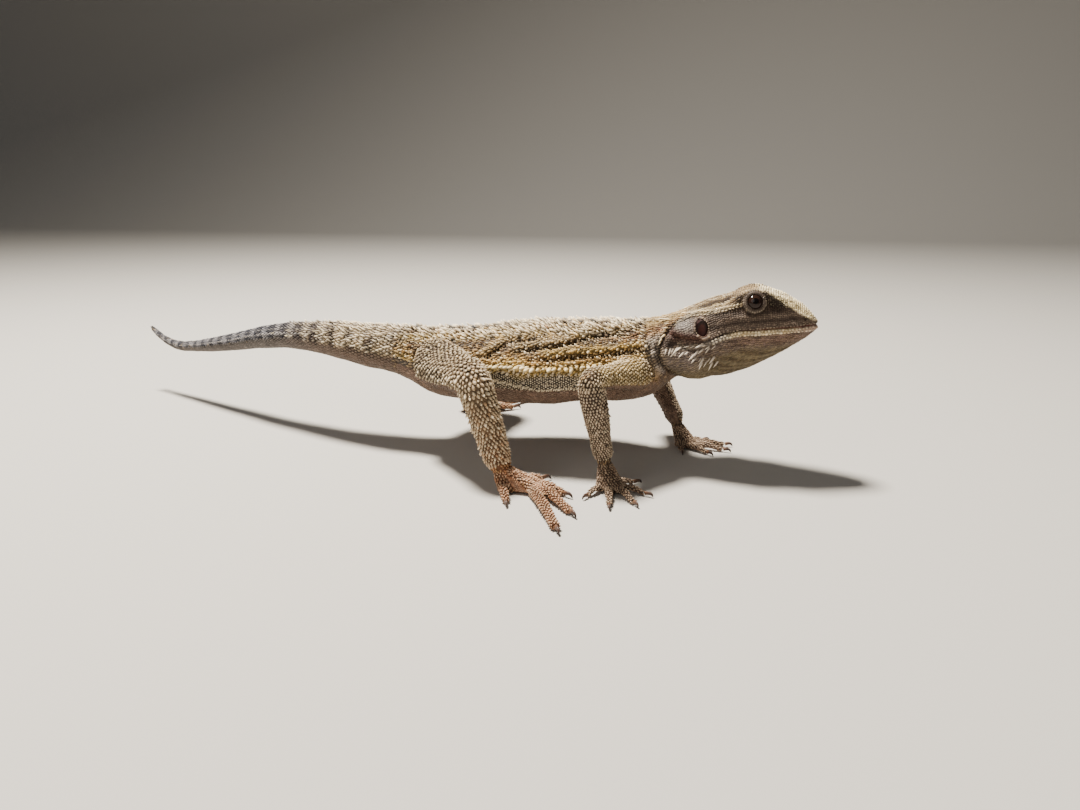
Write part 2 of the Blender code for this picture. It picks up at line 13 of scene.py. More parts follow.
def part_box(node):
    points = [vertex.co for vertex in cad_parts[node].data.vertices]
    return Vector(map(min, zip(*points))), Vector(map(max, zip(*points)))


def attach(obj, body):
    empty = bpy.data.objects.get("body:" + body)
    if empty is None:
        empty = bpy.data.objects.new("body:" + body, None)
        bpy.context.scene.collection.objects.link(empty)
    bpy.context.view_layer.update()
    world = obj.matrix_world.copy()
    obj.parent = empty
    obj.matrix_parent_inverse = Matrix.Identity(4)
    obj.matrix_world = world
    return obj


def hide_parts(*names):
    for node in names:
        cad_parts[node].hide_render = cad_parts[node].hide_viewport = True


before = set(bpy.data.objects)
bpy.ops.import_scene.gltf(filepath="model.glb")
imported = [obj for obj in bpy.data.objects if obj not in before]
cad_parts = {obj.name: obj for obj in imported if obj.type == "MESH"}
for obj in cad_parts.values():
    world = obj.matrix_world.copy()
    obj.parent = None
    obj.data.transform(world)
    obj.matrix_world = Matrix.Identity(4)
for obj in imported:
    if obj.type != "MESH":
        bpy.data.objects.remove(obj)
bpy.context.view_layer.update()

# ---------------------------------------------------------------- the hide: its flesh
# One closed hide of thin, dry skin from the snout to the tip of the tail. It is grown from the frame's parts
# of flesh, sealed over their part lines and over the eyes, and then drawn in by the depth of its scales.
MM = 0.001
VENT = np.array([3.976, -3.937, 0.0])      # the vent's place in the frame
SEAL = 0.25                                # how far the parts are swelled so that they meet
GRAIN = 0.4                                # cells in which they are fused
SETTLE = 8                                 # smoothing passes
HIDE_FACES = 185000
FLESH = sorted(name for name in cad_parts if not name.startswith(("claw", "eye", "ear")))
SIDES = {"R": -1, "L": 1}                  # the sign of y on each side
EYE_GAZE = (0.16, 0.95, 0.30)              # ahead, aside and up


def unit(vectors):
    """Each vector over its length."""
    vectors = np.asarray(vectors, float)
    return vectors / np.maximum(np.linalg.norm(vectors, axis=-1, keepdims=True), 1e-12)


def part_surface(name):
    """The corners and triangles of one of the frame's solids, with shared corners merged."""
    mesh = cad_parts[name].data
    mesh.calc_loop_triangles()
    points = np.empty(len(mesh.vertices) * 3, np.float32)
    mesh.vertices.foreach_get("co", points)
    faces = np.empty(len(mesh.loop_triangles) * 3, np.int32)
    mesh.loop_triangles.foreach_get("vertices", faces)
    points = np.round(points.reshape(-1, 3) / MM - VENT, 4)
    merged, index = np.unique(points, axis=0, return_inverse=True)
    return merged, index.reshape(-1)[faces].reshape(-1, 3)


def surface(name, points, faces):
    """A mesh object at the frame's origin, from points in mm from the vent and faces with equal corners."""
    mesh = bpy.data.meshes.new(name)
    mesh.vertices.add(len(points))
    mesh.vertices.foreach_set("co", ((points + VENT) * MM).astype(np.float32).ravel())
    mesh.loops.add(faces.size)
    mesh.loops.foreach_set("vertex_index", faces.astype(np.int32).ravel())
    mesh.polygons.add(len(faces))
    mesh.polygons.foreach_set("loop_start", np.arange(0, faces.size, faces.shape[1], dtype=np.int32))
    mesh.update(calc_edges=True)
    made = bpy.data.objects.new(name, mesh)
    bpy.context.scene.collection.objects.link(made)
    return made


def turned(profile, sides):
    """A closed form of revolution: each (radius, height) is carried round the z axis in equal steps, from the
    lower end up, and the first and last rows are single points on the axis."""
    profile = np.asarray(profile, float)
    angle = np.linspace(0.0, 2 * np.pi, sides, endpoint=False)
    radius, height = profile[1:-1, :1], profile[1:-1, 1:]
    rings = np.stack([radius * np.cos(angle), radius * np.sin(angle), height + 0 * angle], axis=2)
    ends = [[0.0, 0.0, profile[0, 1]], [0.0, 0.0, profile[-1, 1]]]
    points = np.vstack([rings.reshape(-1, 3), ends])
    low, high = len(points) - 2, len(points) - 1
    this = np.arange(sides)
    next_ = (this + 1) % sides
    start = (np.arange(len(radius) - 1) * sides)[:, None]
    a, b, c, d = start + this, start + next_, start + sides + next_, start + sides + this
    walls = np.stack([a, b, c, a, c, d], axis=2).reshape(-1, 3)
    last = (len(radius) - 1) * sides
    floor = np.stack([0 * this + low, next_, this], axis=1)
    cap = np.stack([0 * this + high, last + this, last + next_], axis=1)
    return points, np.vstack([floor, walls, cap])


def evaluated(made):
    """The object's mesh with its modifiers applied."""
    bpy.context.view_layer.update()
    graph = bpy.context.evaluated_depsgraph_get()
    return bpy.data.meshes.new_from_object(made.evaluated_get(graph))


def read_points(mesh):
    """Places and outward directions of a mesh's vertices, in mm from the vent."""
    points = np.empty(len(mesh.vertices) * 3, np.float32)
    mesh.vertices.foreach_get("co", points)
    out = np.empty(len(mesh.vertices) * 3, np.float32)
    mesh.vertex_normals.foreach_get("vector", out)
    return points.reshape(-1, 3).astype(float) / MM - VENT, unit(out.reshape(-1, 3))


def eye_frame(letter):
    """An eyeball's centre and radius, and the directions along the head, up and out of its socket."""
    low, high = (np.array(corner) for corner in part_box(f"eye_{letter}"))
    out = unit([EYE_GAZE[0], SIDES[letter] * EYE_GAZE[1], EYE_GAZE[2]])
    along = unit(np.cross([0.0, 0.0, 1.0], out))
    axes = np.array([along, np.cross(out, along), out])
    return (low + high) / 2 / MM - VENT, (high - low).max() / 2 / MM, axes


def sealed_flesh():
    """The frame's flesh as one closed mesh of even grain."""
    parts = [part_surface(name) for name in FLESH]
    arc = np.linspace(-np.pi / 2, np.pi / 2, 20)
    for letter in "RL":
        centre, radius, _ = eye_frame(letter)
        ball, faces = turned(np.stack([np.cos(arc), np.sin(arc)], axis=1) * radius, 32)
        parts.append((ball + centre, faces))
    starts = np.cumsum([0] + [len(points) for points, _ in parts])
    block = surface("flesh", np.vstack([points for points, _ in parts]),
                    np.vstack([faces + start for (_, faces), start in zip(parts, starts)]))
    swell = block.modifiers.new("seal", "DISPLACE")
    swell.mid_level = 0.0
    swell.strength = SEAL * MM
    fuse = block.modifiers.new("fuse", "REMESH")
    fuse.mode = "VOXEL"
    fuse.voxel_size = GRAIN * MM
    soft = block.modifiers.new("settle", "SMOOTH")
    soft.factor = 0.5
    soft.iterations = SETTLE
    mesh = evaluated(block)
    bpy.data.objects.remove(block, do_unlink=True)
    return mesh


flesh_mesh = sealed_flesh()
places, outward = read_points(flesh_mesh)

# ---------------------------------------------------------------- the hide: the lines that it lies round
# The backbone, the four legs and the twenty digits. Each line says where a place on the hide is along the
# animal and round it, by which folds, markings and rows of scales are laid out.
BACKBONE = [                               # x, y, z, half breadth, half height
    (-146.3, 49.2, 29.3, 0.9, 0.9), (-144.5, 48.3, 28.2, 1.3, 1.3), (-137.1, 45.0, 24.7, 1.7, 1.7),
    (-128.2, 41.0, 22.9, 2.2, 2.2), (-112.0, 34.0, 24.2, 2.8, 2.7), (-96.0, 27.0, 27.2, 3.5, 3.4),
    (-81.3, 21.0, 30.2, 4.1, 4.0), (-67.2, 15.0, 33.4, 4.7, 4.6), (-52.4, 10.0, 35.6, 5.4, 5.2),
    (-36.6, 5.0, 36.3, 6.6, 6.2), (-22.6, 2.0, 35.7, 7.9, 7.3), (-13.2, 0.5, 34.9, 8.8, 8.1),
    (-3.3, 0.0, 34.2, 9.4, 8.9), (6.0, 0.0, 32.9, 11.3, 10.8), (15.0, 0.0, 32.2, 13.8, 11.9),
    (25.0, 0.0, 32.2, 16.2, 12.5), (40.0, 0.0, 32.8, 19.8, 13.4), (55.0, 0.0, 33.4, 21.6, 13.8),
    (68.0, 0.0, 34.2, 20.2, 13.2), (80.0, 0.0, 35.6, 16.8, 13.2), (88.0, -0.2, 37.8, 13.4, 13.0),
    (95.0, -0.5, 40.6, 12.0, 11.8), (103.0, -0.8, 43.0, 13.6, 12.2), (110.0, -1.1, 45.0, 13.8, 12.4),
    (118.0, -1.5, 47.4, 12.0, 12.2), (125.0, -1.9, 48.7, 9.9, 10.8), (131.0, -2.2, 49.2, 7.8, 7.8),
    (136.0, -2.6, 49.5, 5.2, 4.4), (138.4, -2.8, 49.6, 2.6, 1.9)]
LEGS = {                                   # joints, flesh round them, and the paw's place and aim
    "front_R": dict(joints=[(84.0, -11.5, 32.8), (71.9, -33.0, 34.6), (76.0, -30.5, 10.0)],
                    flesh=(5.6, 4.1, 3.0), floor=(76.5, -31.0), heading=-45.0, spread=1.0),
    "front_L": dict(joints=[(85.5, 11.5, 32.4), (82.5, 29.5, 29.5), (94.8, 17.5, 10.0)],
                    flesh=(5.6, 4.1, 3.0), floor=(95.4, 17.0), heading=-18.0, spread=0.8),
    "hind_R": dict(joints=[(13.5, -8.5, 32.2), (35.8, -36.0, 33.0), (44.8, -40.0, 8.5)],
                   flesh=(8.2, 5.5, 3.9), floor=(45.0, -40.0), heading=-22.0, spread=1.0),
    "hind_L": dict(joints=[(12.5, 8.5, 32.2), (20.5, 39.0, 31.5), (5.0, 44.0, 8.5)],
                   flesh=(8.2, 5.5, 3.9), floor=(4.8, 44.2), heading=32.0, spread=0.95)}
FINGERS = [                                # reach, bearing of the root, bearing, length, radius
    (4.0, -62, -76, 8.4, 1.25), (6.3, -25, -24, 10.6, 1.3), (6.8, -2, 10, 13.2, 1.35),
    (6.3, 23, 36, 13.8, 1.35), (4.2, 56, 68, 9.6, 1.25)]
TOES = [(7.0, -58, -64, 11.0, 1.55), (11.2, -36, 4, 14.4, 1.65), (12.0, -24, 28, 24.5, 1.7),
        (11.5, -8, 41, 31.5, 1.8), (3.4, 38, 47, 13.2, 1.55)]
CLAWS = {"front": (3.0, 0.66), "hind": (3.5, 0.76)}     # length, and radius at the root


def resample(rows, step):
    """Stations at even steps, by a cubic through each column over the distance along x, y, z."""
    rows = np.asarray(rows, float)
    at = np.concatenate([[0.0], np.cumsum(np.linalg.norm(np.diff(rows[:, :3], axis=0), axis=1))])
    slope = np.gradient(rows, at, axis=0)
    new = np.linspace(0.0, at[-1], int(round(at[-1] / step)) + 1)
    k = np.clip(np.searchsorted(at, new, side="right") - 1, 0, len(at) - 2)
    span = (at[k + 1] - at[k])[:, None]
    t = (new - at[k])[:, None] / span
    return ((2 * t**3 - 3 * t**2 + 1) * rows[k] + (t**3 - 2 * t**2 + t) * span * slope[k]
            + (3 * t**2 - 2 * t**3) * rows[k + 1] + (t**3 - t**2) * span * slope[k + 1])


def make_line(rows, step, carried=False):
    """A line with a frame at each station. Up is the world's up squared to the line or, where the line is
    carried, the upper side at its start, turned only as far as the line bends."""
    rows = resample(rows, step)
    ahead = unit(np.gradient(rows[:, :3], axis=0))
    up = np.tile([0.0, 0.0, 1.0], (len(rows), 1))
    if carried:
        for k in range(1, len(rows)):
            up[k] = unit(up[k - 1] - (up[k - 1] @ ahead[k]) * ahead[k])
    up = unit(up - (up * ahead).sum(1, keepdims=True) * ahead)
    step = np.linalg.norm(rows[1, :3] - rows[0, :3])
    return dict(step=step, length=step * (len(rows) - 1), middle=rows[:, :3], ahead=ahead, up=up,
                aside=np.cross(ahead, up), breadth=rows[:, 3], height=rows[:, 4])


def at_station(table, index):
    """A table's rows at fractional station numbers, by straight blending."""
    low = np.clip(index.astype(int), 0, len(table) - 2)
    share = index - low
    if table.ndim > 1:
        share = share[..., None]
    return table[low] * (1 - share) + table[low + 1] * share


def leg_rows(leg):
    """A leg's line from shoulder or hip, round the elbow or knee, to just past the wrist or ankle."""
    shoulder, bend, wrist = (np.array(joint) for joint in leg["joints"])
    high, middle, low = leg["flesh"]
    centres = (shoulder, shoulder * 0.5 + bend * 0.5, bend * 0.97 + (shoulder + wrist) * 0.015,
               bend * 0.5 + wrist * 0.5, wrist, wrist + (wrist - bend) * 0.06)
    radii = (high, high * 0.45 + middle * 0.5, middle, middle * 0.5 + low * 0.55, low, low * 0.8)
    return [(*centre, radius, radius) for centre, radius in zip(centres, radii)]


def digit_rows(leg, digit, claw_length):
    """A digit's line from the wrist or ankle, through its root, to where its claw starts."""
    reach, root_bearing, bearing, length, radius = digit
    side = -1 if leg["joints"][0][1] < 0 else 1
    turn, aim = np.radians(leg["heading"] + side * np.array([root_bearing, bearing]) * leg["spread"])
    wrist = np.array(leg["joints"][2])
    x, y = leg["floor"]
    root = np.array([x + reach * np.cos(turn), y + reach * np.sin(turn), radius + 0.1])
    ahead = np.array([np.cos(aim), np.sin(aim), 0.0])
    end = root + ahead * (length - claw_length)
    end[2] = radius * 0.8 - 0.1
    middle = (root + end) / 2 + [0.0, 0.0, 0.6]
    palm = wrist * 0.35 + root * 0.65 + [0.0, 0.0, 0.5]
    centres = (wrist * 0.75 + root * 0.25, palm, root, middle, end, end + ahead * 1.3)
    radii = (2.2, 1.9, radius * 1.08, radius * 0.92, radius * 0.8, radius * 0.6)
    return [(*centre, radius, radius) for centre, radius in zip(centres, radii)]


lines = {"body": make_line(BACKBONE, 1.5)}
for key, leg in LEGS.items():
    lines[key] = make_line(leg_rows(leg), 1.2, carried=True)
    front = key.startswith("front")
    claw_length, _ = CLAWS["front" if front else "hind"]
    for k, digit in enumerate(FINGERS if front else TOES):
        lines[f"{key}_{k + 1}"] = make_line(digit_rows(leg, digit, claw_length), 0.8)


def round_line(line, points):
    """For each point: distance along the line, angle round it from its upper side towards its right, distance
    from it, and how far the point lies outside the flesh that the line stands for."""
    middle = line["middle"]
    nearest = np.concatenate([
        ((chunk**2).sum(1)[:, None] - 2 * chunk @ middle.T + (middle**2).sum(1)).argmin(1)
        for chunk in np.array_split(points, max(1, len(points) // 20000))])
    index = nearest + ((points - middle[nearest]) * line["ahead"][nearest]).sum(1) / line["step"]
    held = np.clip(index, 0.0, len(middle) - 1.0)
    over = (index - held) * line["step"]
    reach = points - at_station(middle, held)
    rise = (reach * at_station(line["up"], held)).sum(1)
    aside = (reach * at_station(line["aside"], held)).sum(1)
    breadth, height = at_station(line["breadth"], held), at_station(line["height"], held)
    small = np.minimum(breadth, height)
    outside = (np.sqrt((aside / breadth)**2 + (rise / height)**2 + (over / small)**2) - 1.0) * small
    return held * line["step"], np.arctan2(aside, rise), np.hypot(aside, rise), outside


def beside(line, points):
    """Which points lie in the box round the line and its flesh, with 3 mm to spare."""
    margin = line["breadth"].max() + 3.0
    low, high = line["middle"].min(0) - margin, line["middle"].max(0) + margin
    return np.flatnonzero(((points > low) & (points < high)).all(1))


line_names = list(lines)
outside = np.full((len(line_names), len(places)), np.inf)
for row, name in enumerate(line_names):
    near = beside(lines[name], places)
    outside[row, near] = round_line(lines[name], places[near])[3]
owner = outside.argmin(0)

# ---------------------------------------------------------------- the hide: lids, lips, folds and creases
# The loose parts of the hide: lids round each eye, the lips, the pits of the nostrils, the rim of the ear,
# the deep crease behind the beard and the slanting folds of the flanks. Each is drawn in the upright plane,
# as (x, z).
DEPTH = {"body": 0.32, "front": 0.26, "hind": 0.30, "digit": 0.16}     # from the solids to the hide
LID_OPENING = 2.3                          # half its length along the head
LID_SQUASH = 1.07                          # how many times longer the opening is than it is high
LID_RING = 3.55                            # where the lids end in a groove
EAR_HALF = (1.9, 2.75)                     # half the ear's opening along the head and up
EAR_LEAN = 0.25                            # how far its top leans back for each mm of height
NOSTRIL_SPOT = (134.4, 5.2, 51.6)          # x, distance from the midline, z
MOUTH = [(140.0, 49.9), (136.8, 49.6), (131.0, 49.2), (125.3, 48.8), (119.6, 48.3), (115.0, 48.1),
         (110.0, 46.9), (106.7, 45.3), (102.5, 43.7), (98.0, 42.8)]
NECK_CREASE = [(98.0, 51.6), (94.6, 49.6), (91.6, 45.4), (90.6, 42.0), (90.6, 39.0), (91.6, 36.3),
               (94.0, 33.6), (97.0, 31.2), (101.0, 28.6)]
CANTHUS = [(113.5, 58.6), (118.5, 60.2), (122.3, 60.0), (126.7, 57.2), (130.7, 54.6), (134.8, 52.3),
           (138.0, 50.8)]                  # the edge from the brow to the nostril
BEARD_FOLD = [(94.9, 43.9), (95.6, 43.3), (97.6, 42.5), (99.3, 41.4), (101.7, 41.2), (103.6, 42.3)]
EAR_FOLD = [(105.0, 45.7), (102.0, 44.7), (98.4, 44.6), (94.9, 45.2), (92.2, 46.2)]
CROWN_ROW = [(115.5, 56.6), (113.4, 55.9), (108.5, 54.3), (104.5, 53.5), (100.5, 52.7), (96.8, 51.6)]
FLANK_FOLDS = [
    [(84.0, 46.2), (78.8, 45.4), (73.9, 45.0), (68.4, 44.4), (63.0, 42.9), (57.5, 41.4), (52.0, 40.8),
     (46.9, 39.9), (41.0, 38.2)],
    [(53.0, 43.4), (47.6, 42.6), (41.4, 41.8), (38.7, 40.3), (35.4, 38.0), (31.5, 35.2)],
    [(88.5, 40.6), (84.4, 41.1), (79.3, 40.3), (74.2, 39.6), (69.1, 39.2), (64.7, 38.9), (58.0, 38.0),
     (51.0, 37.6)]]
FOLD_DEPTHS = (1.1, 0.9, 1.2)
FRINGE = [(73.5, 36.6), (68.1, 35.6), (61.7, 34.8), (55.0, 34.5), (48.0, 34.4), (41.7, 34.2), (36.0, 33.9),
          (29.0, 34.0), (22.0, 33.6)]
BELLY_ROW = [(68.0, 29.2), (64.3, 28.7), (59.0, 28.5), (53.7, 27.6), (49.2, 28.3), (44.6, 28.8),
             (39.9, 29.5), (33.0, 29.6)]

def smooth_step(value, low, high):
    """0 up to low, 1 from high on, and 3t² - 2t³ of the way t between them."""
    share = np.clip((value - low) / (high - low), 0.0, 1.0)
    return share * share * (3 - 2 * share)


def bump(value, width):
    """A bell of that width: e to minus the square of value over width."""
    return np.exp(-(value / width)**2)


def to_line(x, z, drawn):
    """Distance from each point to a line drawn in the upright plane, positive above the line, and how far
    along the line its nearest place is, from 0 to 1."""
    best, side, share = np.full(x.shape, np.inf), np.ones(x.shape), np.zeros(x.shape)
    lengths = np.hypot(*np.diff(np.array(drawn), axis=0).T)
    run = np.concatenate([[0.0], np.cumsum(lengths)]) / lengths.sum()
    for k, ((x0, z0), (x1, z1)) in enumerate(zip(drawn, drawn[1:])):
        dx, dz = x1 - x0, z1 - z0
        t = np.clip(((x - x0) * dx + (z - z0) * dz) / (dx * dx + dz * dz), 0.0, 1.0)
        gap = np.hypot(x - x0 - t * dx, z - z0 - t * dz)
        closer = gap < best
        turn = np.where(((z - z0) * dx - (x - x0) * dz) * (1 if dx > 0 else -1) < 0, -1.0, 1.0)
        best, side = np.where(closer, gap, best), np.where(closer, turn, side)
        share = np.where(closer, run[k] + t * (run[k + 1] - run[k]), share)
    return best * side, share


def from_crease(x, z):
    """Distance from the neck crease in the upright plane, positive on the head, and the share along it."""
    gap, share = to_line(x, z, NECK_CREASE)
    line_x, line_z = np.array(NECK_CREASE)[::-1].T
    return np.abs(gap) * np.where(x > np.interp(z, line_z, line_x), 1.0, -1.0), share


def taper(share, ends=0.15):
    """1 along the middle of a line, falling to 0 at both ends."""
    return smooth_step(share, 0.0, ends) * smooth_step(1.0 - share, 0.0, ends)


def carved(x, z, drawn, ends, waves):
    """Swellings and grooves along a drawn line, fading at its ends: each is a height times a bell over the
    distance above the line."""
    gap, share = to_line(x, z, drawn)
    return taper(share, ends) * sum(height * bump(gap - above, width) for height, above, width in waves)


def midline(x):
    """y of the backbone at a given x."""
    return np.interp(x, lines["body"]["middle"][:, 0], lines["body"]["middle"][:, 1])


def throat_wrinkles(x, out):
    """Waves 1.9 mm apart that slant back from the midline: a sine of x and the distance from it."""
    return np.sin((x * 0.45 + out) * 2 * np.pi / 1.9)


def node_box(name):
    """The lowest and the highest corner of one of the frame's solids."""
    return [np.array(corner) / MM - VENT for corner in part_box(name)]


def ear_oval(place, letter):
    """1 on the rim of an ear opening and less inside it: distance from its middle, over a leaning oval."""
    x, _, z = (place - EAR_MIDDLE[letter]).T
    return np.hypot((x + EAR_LEAN * z) / EAR_HALF[0], z / EAR_HALF[1])


def nostril_middle(side):
    """The middle of one nostril, measured out from the backbone's line."""
    x, out, z = NOSTRIL_SPOT
    return np.array([x, float(midline(x)) + side * out, z])


def mottle(place, size, seed):
    """Blotches from -1 to 1: random values at the corners of a grid of that size, blended smoothly."""
    grid = place / size + seed * 17.31
    cell = np.floor(grid)
    share = grid - cell
    share = share * share * (3 - 2 * share)
    total = 0.0
    for i in (0, 1):
        for j in (0, 1):
            for k in (0, 1):
                corner = np.sin((cell + [i, j, k]) @ np.array([127.1, 311.7, 74.7])) * 43758.5453
                weight = (np.abs(1 - i - share[:, 0]) * np.abs(1 - j - share[:, 1])
                          * np.abs(1 - k - share[:, 2]))
                total = total + (corner - np.floor(corner)) * weight
    return 2 * total - 1


def lid_height(radius, reach):
    """Height of the lids over the eyeball's centre: tucked under the ball, then a round ring and a groove."""
    ball = np.sqrt(np.maximum(radius**2 - reach**2, 0.05))
    edge = np.sqrt(radius**2 - LID_OPENING**2)
    across = np.clip((reach - LID_OPENING) / (LID_RING - LID_OPENING), 0, 1)
    groove = 0.42 * smooth_step(reach, LID_OPENING + 0.5, LID_RING)
    ring = edge + 0.18 + 0.16 * np.sin(across * np.pi) - groove
    under = ball - 0.55
    return under + (ring - under) * smooth_step(reach, LID_OPENING - 0.18, LID_OPENING + 0.12)


def kind_of(name):
    """A line's kind: body, front, hind or digit."""
    return "digit" if name[-1].isdigit() else name.split("_")[0]


EAR_MIDDLE = {letter: sum(node_box(f"ear_{letter}")) / 2 for letter in SIDES}
NOSTRIL = {letter: nostril_middle(side) for letter, side in SIDES.items()}
inset = SEAL + np.array([DEPTH[kind_of(name)] for name in line_names])[owner]
on_body = owner == 0
x, y, z = places.T
out = np.abs(y - midline(x))
face = on_body & (x > 90)
inset = np.where(face, SEAL + 0.20, inset)
lift = -inset + 0.10 * mottle(places, 3.0, 1) * on_body
on_flank = on_body & (out > 6.0)
for drawn, depth in zip(FLANK_FOLDS, FOLD_DEPTHS):
    lift += on_flank * carved(x, z, drawn, 0.15, [(0.55, 1.6, 1.1), (-depth, 0.0, 0.8)])
lift += on_flank * carved(x, z, FRINGE, 0.15, [(0.45, 0.0, 1.0), (-0.6, -2.2, 1.0)])
lift += on_flank * carved(x, z, BELLY_ROW, 0.15, [(0.40, 0.0, 0.55), (-0.25, -1.2, 0.7)])
gap, share = from_crease(x, z)
by_crease = on_body * (out > 3) * taper(share, 0.2)
lift += by_crease * (0.55 * bump(gap - 2.0, 1.4) - 1.25 * bump(gap, 0.75))
for step in (3.0, 5.2, 7.6):
    behind, _ = from_crease(x + step, z)
    lift -= by_crease * 0.30 * bump(behind, 0.5)
lift += face * (out > 4) * carved(x, z, EAR_FOLD, 0.25, [(0.30, 1.1, 0.7), (-0.55, 0.0, 0.55)])
lift += face * (out > 4) * carved(x, z, BEARD_FOLD, 0.2, [(0.18, -0.7, 0.5), (-0.40, 0.0, 0.4)])
lift += face * (out > 3) * carved(x, z, CROWN_ROW, 0.15, [(0.35, 0.0, 0.7)])
gap, _ = to_line(x, z, MOUTH)
lips = face * smooth_step(x, 99.0, 112.0)
lift += lips * (0.22 * bump(gap - 0.95, 0.6) + 0.28 * bump(gap + 1.05, 0.65) - 0.55 * bump(gap, 0.32))
for step in (2.6, 4.2, 5.8):
    below, _ = to_line(x, z + step, MOUTH)
    lift -= face * smooth_step(x, 100.0, 104.0) * smooth_step(122.0 - x, 0.0, 6.0) * 0.20 * bump(below, 0.35)
gap, share = to_line(x, z, CANTHUS)
hollow = 0.35 * bump(gap + 1.8, 1.0) * smooth_step(x, 121, 125)
lift += face * taper(share, 0.1) * (out > 3) * (0.25 * bump(gap, 0.6) - hollow)
throat = face & (z < 44)
lift += throat * 0.10 * throat_wrinkles(x, out) * smooth_step(x, 97.0, 102.0)
for letter, side in SIDES.items():
    far = np.linalg.norm(places - NOSTRIL[letter], axis=1)
    lift += 0.25 * bump(far - 1.0, 0.35) - 0.75 * bump(far, 0.55)
    by_ear = face & (side * (y - EAR_MIDDLE[letter][1]) > -2.5) & (side * y > 0)
    lift += by_ear * 0.30 * bump(ear_oval(places, letter) - 1.15, 0.16)
places = places + outward * lift[:, None]
for letter in SIDES:
    centre, radius, axes = eye_frame(letter)
    local = (places - centre) @ axes.T
    reach = np.hypot(local[:, 0], local[:, 1] * LID_SQUASH)
    hold = smooth_step(5.0 - reach, 0.0, 1.5) * (local[:, 2] > -0.8) * (np.abs(local[:, 2]) < 5)
    slope = lid_height(radius, np.full_like(reach, LID_RING)) + 0.55 * (reach - LID_RING)
    target = np.where(reach < LID_RING, lid_height(radius, reach), np.minimum(local[:, 2], slope))
    local[:, 2] += (target - local[:, 2]) * hold
    near = hold > 0
    places[near] = centre + local[near] @ axes
places[:, 2] = np.maximum(places[:, 2], 0.10)

flesh_mesh.vertices.foreach_set("co", ((places + VENT) * MM).astype(np.float32).ravel())
flesh_mesh.update()

# ---------------------------------------------------------------- the hide: how it lies round each line
# A chart of the hide for each line: the hide's distance from the line at each station and angle. Rows of
# scales are laid on these charts.
CHART_STEP = 0.5                           # mm between a chart's rows


def make_chart(name, sides):
    """The mean distance of the hide's vertices from the line in each cell, filled across empty cells round
    the line and then evened out with its neighbours; and which cells the hide really crosses."""
    line = lines[name]
    mine = np.flatnonzero(owner == line_names.index(name))
    at, turn, reach, _ = round_line(line, places[mine])
    rows = int(line["length"] / CHART_STEP) + 1
    cell = np.clip(np.round(at / CHART_STEP).astype(int), 0, rows - 1) * sides + np.floor(
        turn / (2 * np.pi) * sides).astype(int) % sides
    count = np.bincount(cell, minlength=rows * sides).reshape(rows, sides)
    total = np.bincount(cell, weights=reach, minlength=rows * sides).reshape(rows, sides)
    there = count > 0
    reach = total / np.maximum(count, 1)
    around = np.arange(sides)
    filled = [k for k in range(rows) if there[k].any()]
    for k in filled:
        reach[k] = np.interp(around, around[there[k]], reach[k][there[k]], period=sides)
    for k in sorted(set(range(rows)) - set(filled)):
        reach[k] = reach[min(filled, key=lambda other: abs(other - k))]

    def neighbours(table):
        """The mean of the cells beside each one, round the line and along it."""
        rounded = (np.roll(table, 1, 1) + np.roll(table, -1, 1)) / 2
        held = np.pad(table, ((1, 1), (0, 0)), mode="edge")
        return (rounded + (held[:-2] + held[2:]) / 2) / 2

    for _ in range(30):
        reach = np.where(there, reach, neighbours(reach))
    for _ in range(2):
        reach = (reach + neighbours(reach)) / 2
    wide = neighbours(neighbours(there.astype(float))) > 0.2
    return dict(line=line, reach=reach, there=wide, sides=sides, rows=rows, end=(rows - 1) * CHART_STEP)


def chart_value(table, chart, at, turn):
    """A chart's value between cells, blended from the four nearest; angles wrap round."""
    sides = chart["sides"]
    row = np.clip(at / CHART_STEP, 0, chart["rows"] - 1.001)
    column = (turn / (2 * np.pi) * sides - 0.5) % sides
    i, j = row.astype(int), column.astype(int) % sides
    a, b = row - i, column - np.floor(column)
    k = (j + 1) % sides
    return ((1 - a) * (1 - b) * table[i, j] + (1 - a) * b * table[i, k] + a * (1 - b) * table[i + 1, j]
            + a * b * table[i + 1, k])


def on_chart(chart, at, turn):
    """Where the hide is at a distance along the line and an angle round it."""
    line = chart["line"]
    reach = chart_value(chart["reach"], chart, at, turn)[:, None]
    index = np.clip(at / line["step"], 0.0, len(line["middle"]) - 1.0)
    up, aside = at_station(line["up"], index), at_station(line["aside"], index)
    return at_station(line["middle"], index) + reach * (
        np.cos(turn)[:, None] * up + np.sin(turn)[:, None] * aside)


def seat(chart, at, turn):
    """The hide's place, outward direction and forward direction at chart positions, from places nearby."""
    here = on_chart(chart, at, turn)
    small = 0.5 / np.maximum(chart_value(chart["reach"], chart, at, turn), 0.5)
    forward = unit(on_chart(chart, at + 0.6, turn) - on_chart(chart, at - 0.6, turn))
    round_ = unit(on_chart(chart, at, turn + small) - on_chart(chart, at, turn - small))
    return here, unit(np.cross(round_, forward)), forward


def row_levels(start, end, first, last):
    """Distances along a line from start to end, whose steps grow or shrink evenly from first to last."""
    count = max(2, int(round(abs(end - start) / ((first + last) / 2))))
    steps = np.linspace(first, last, count)
    return start + (end - start) * np.concatenate([[0.0], np.cumsum(steps)[:-1]]) / steps.sum()


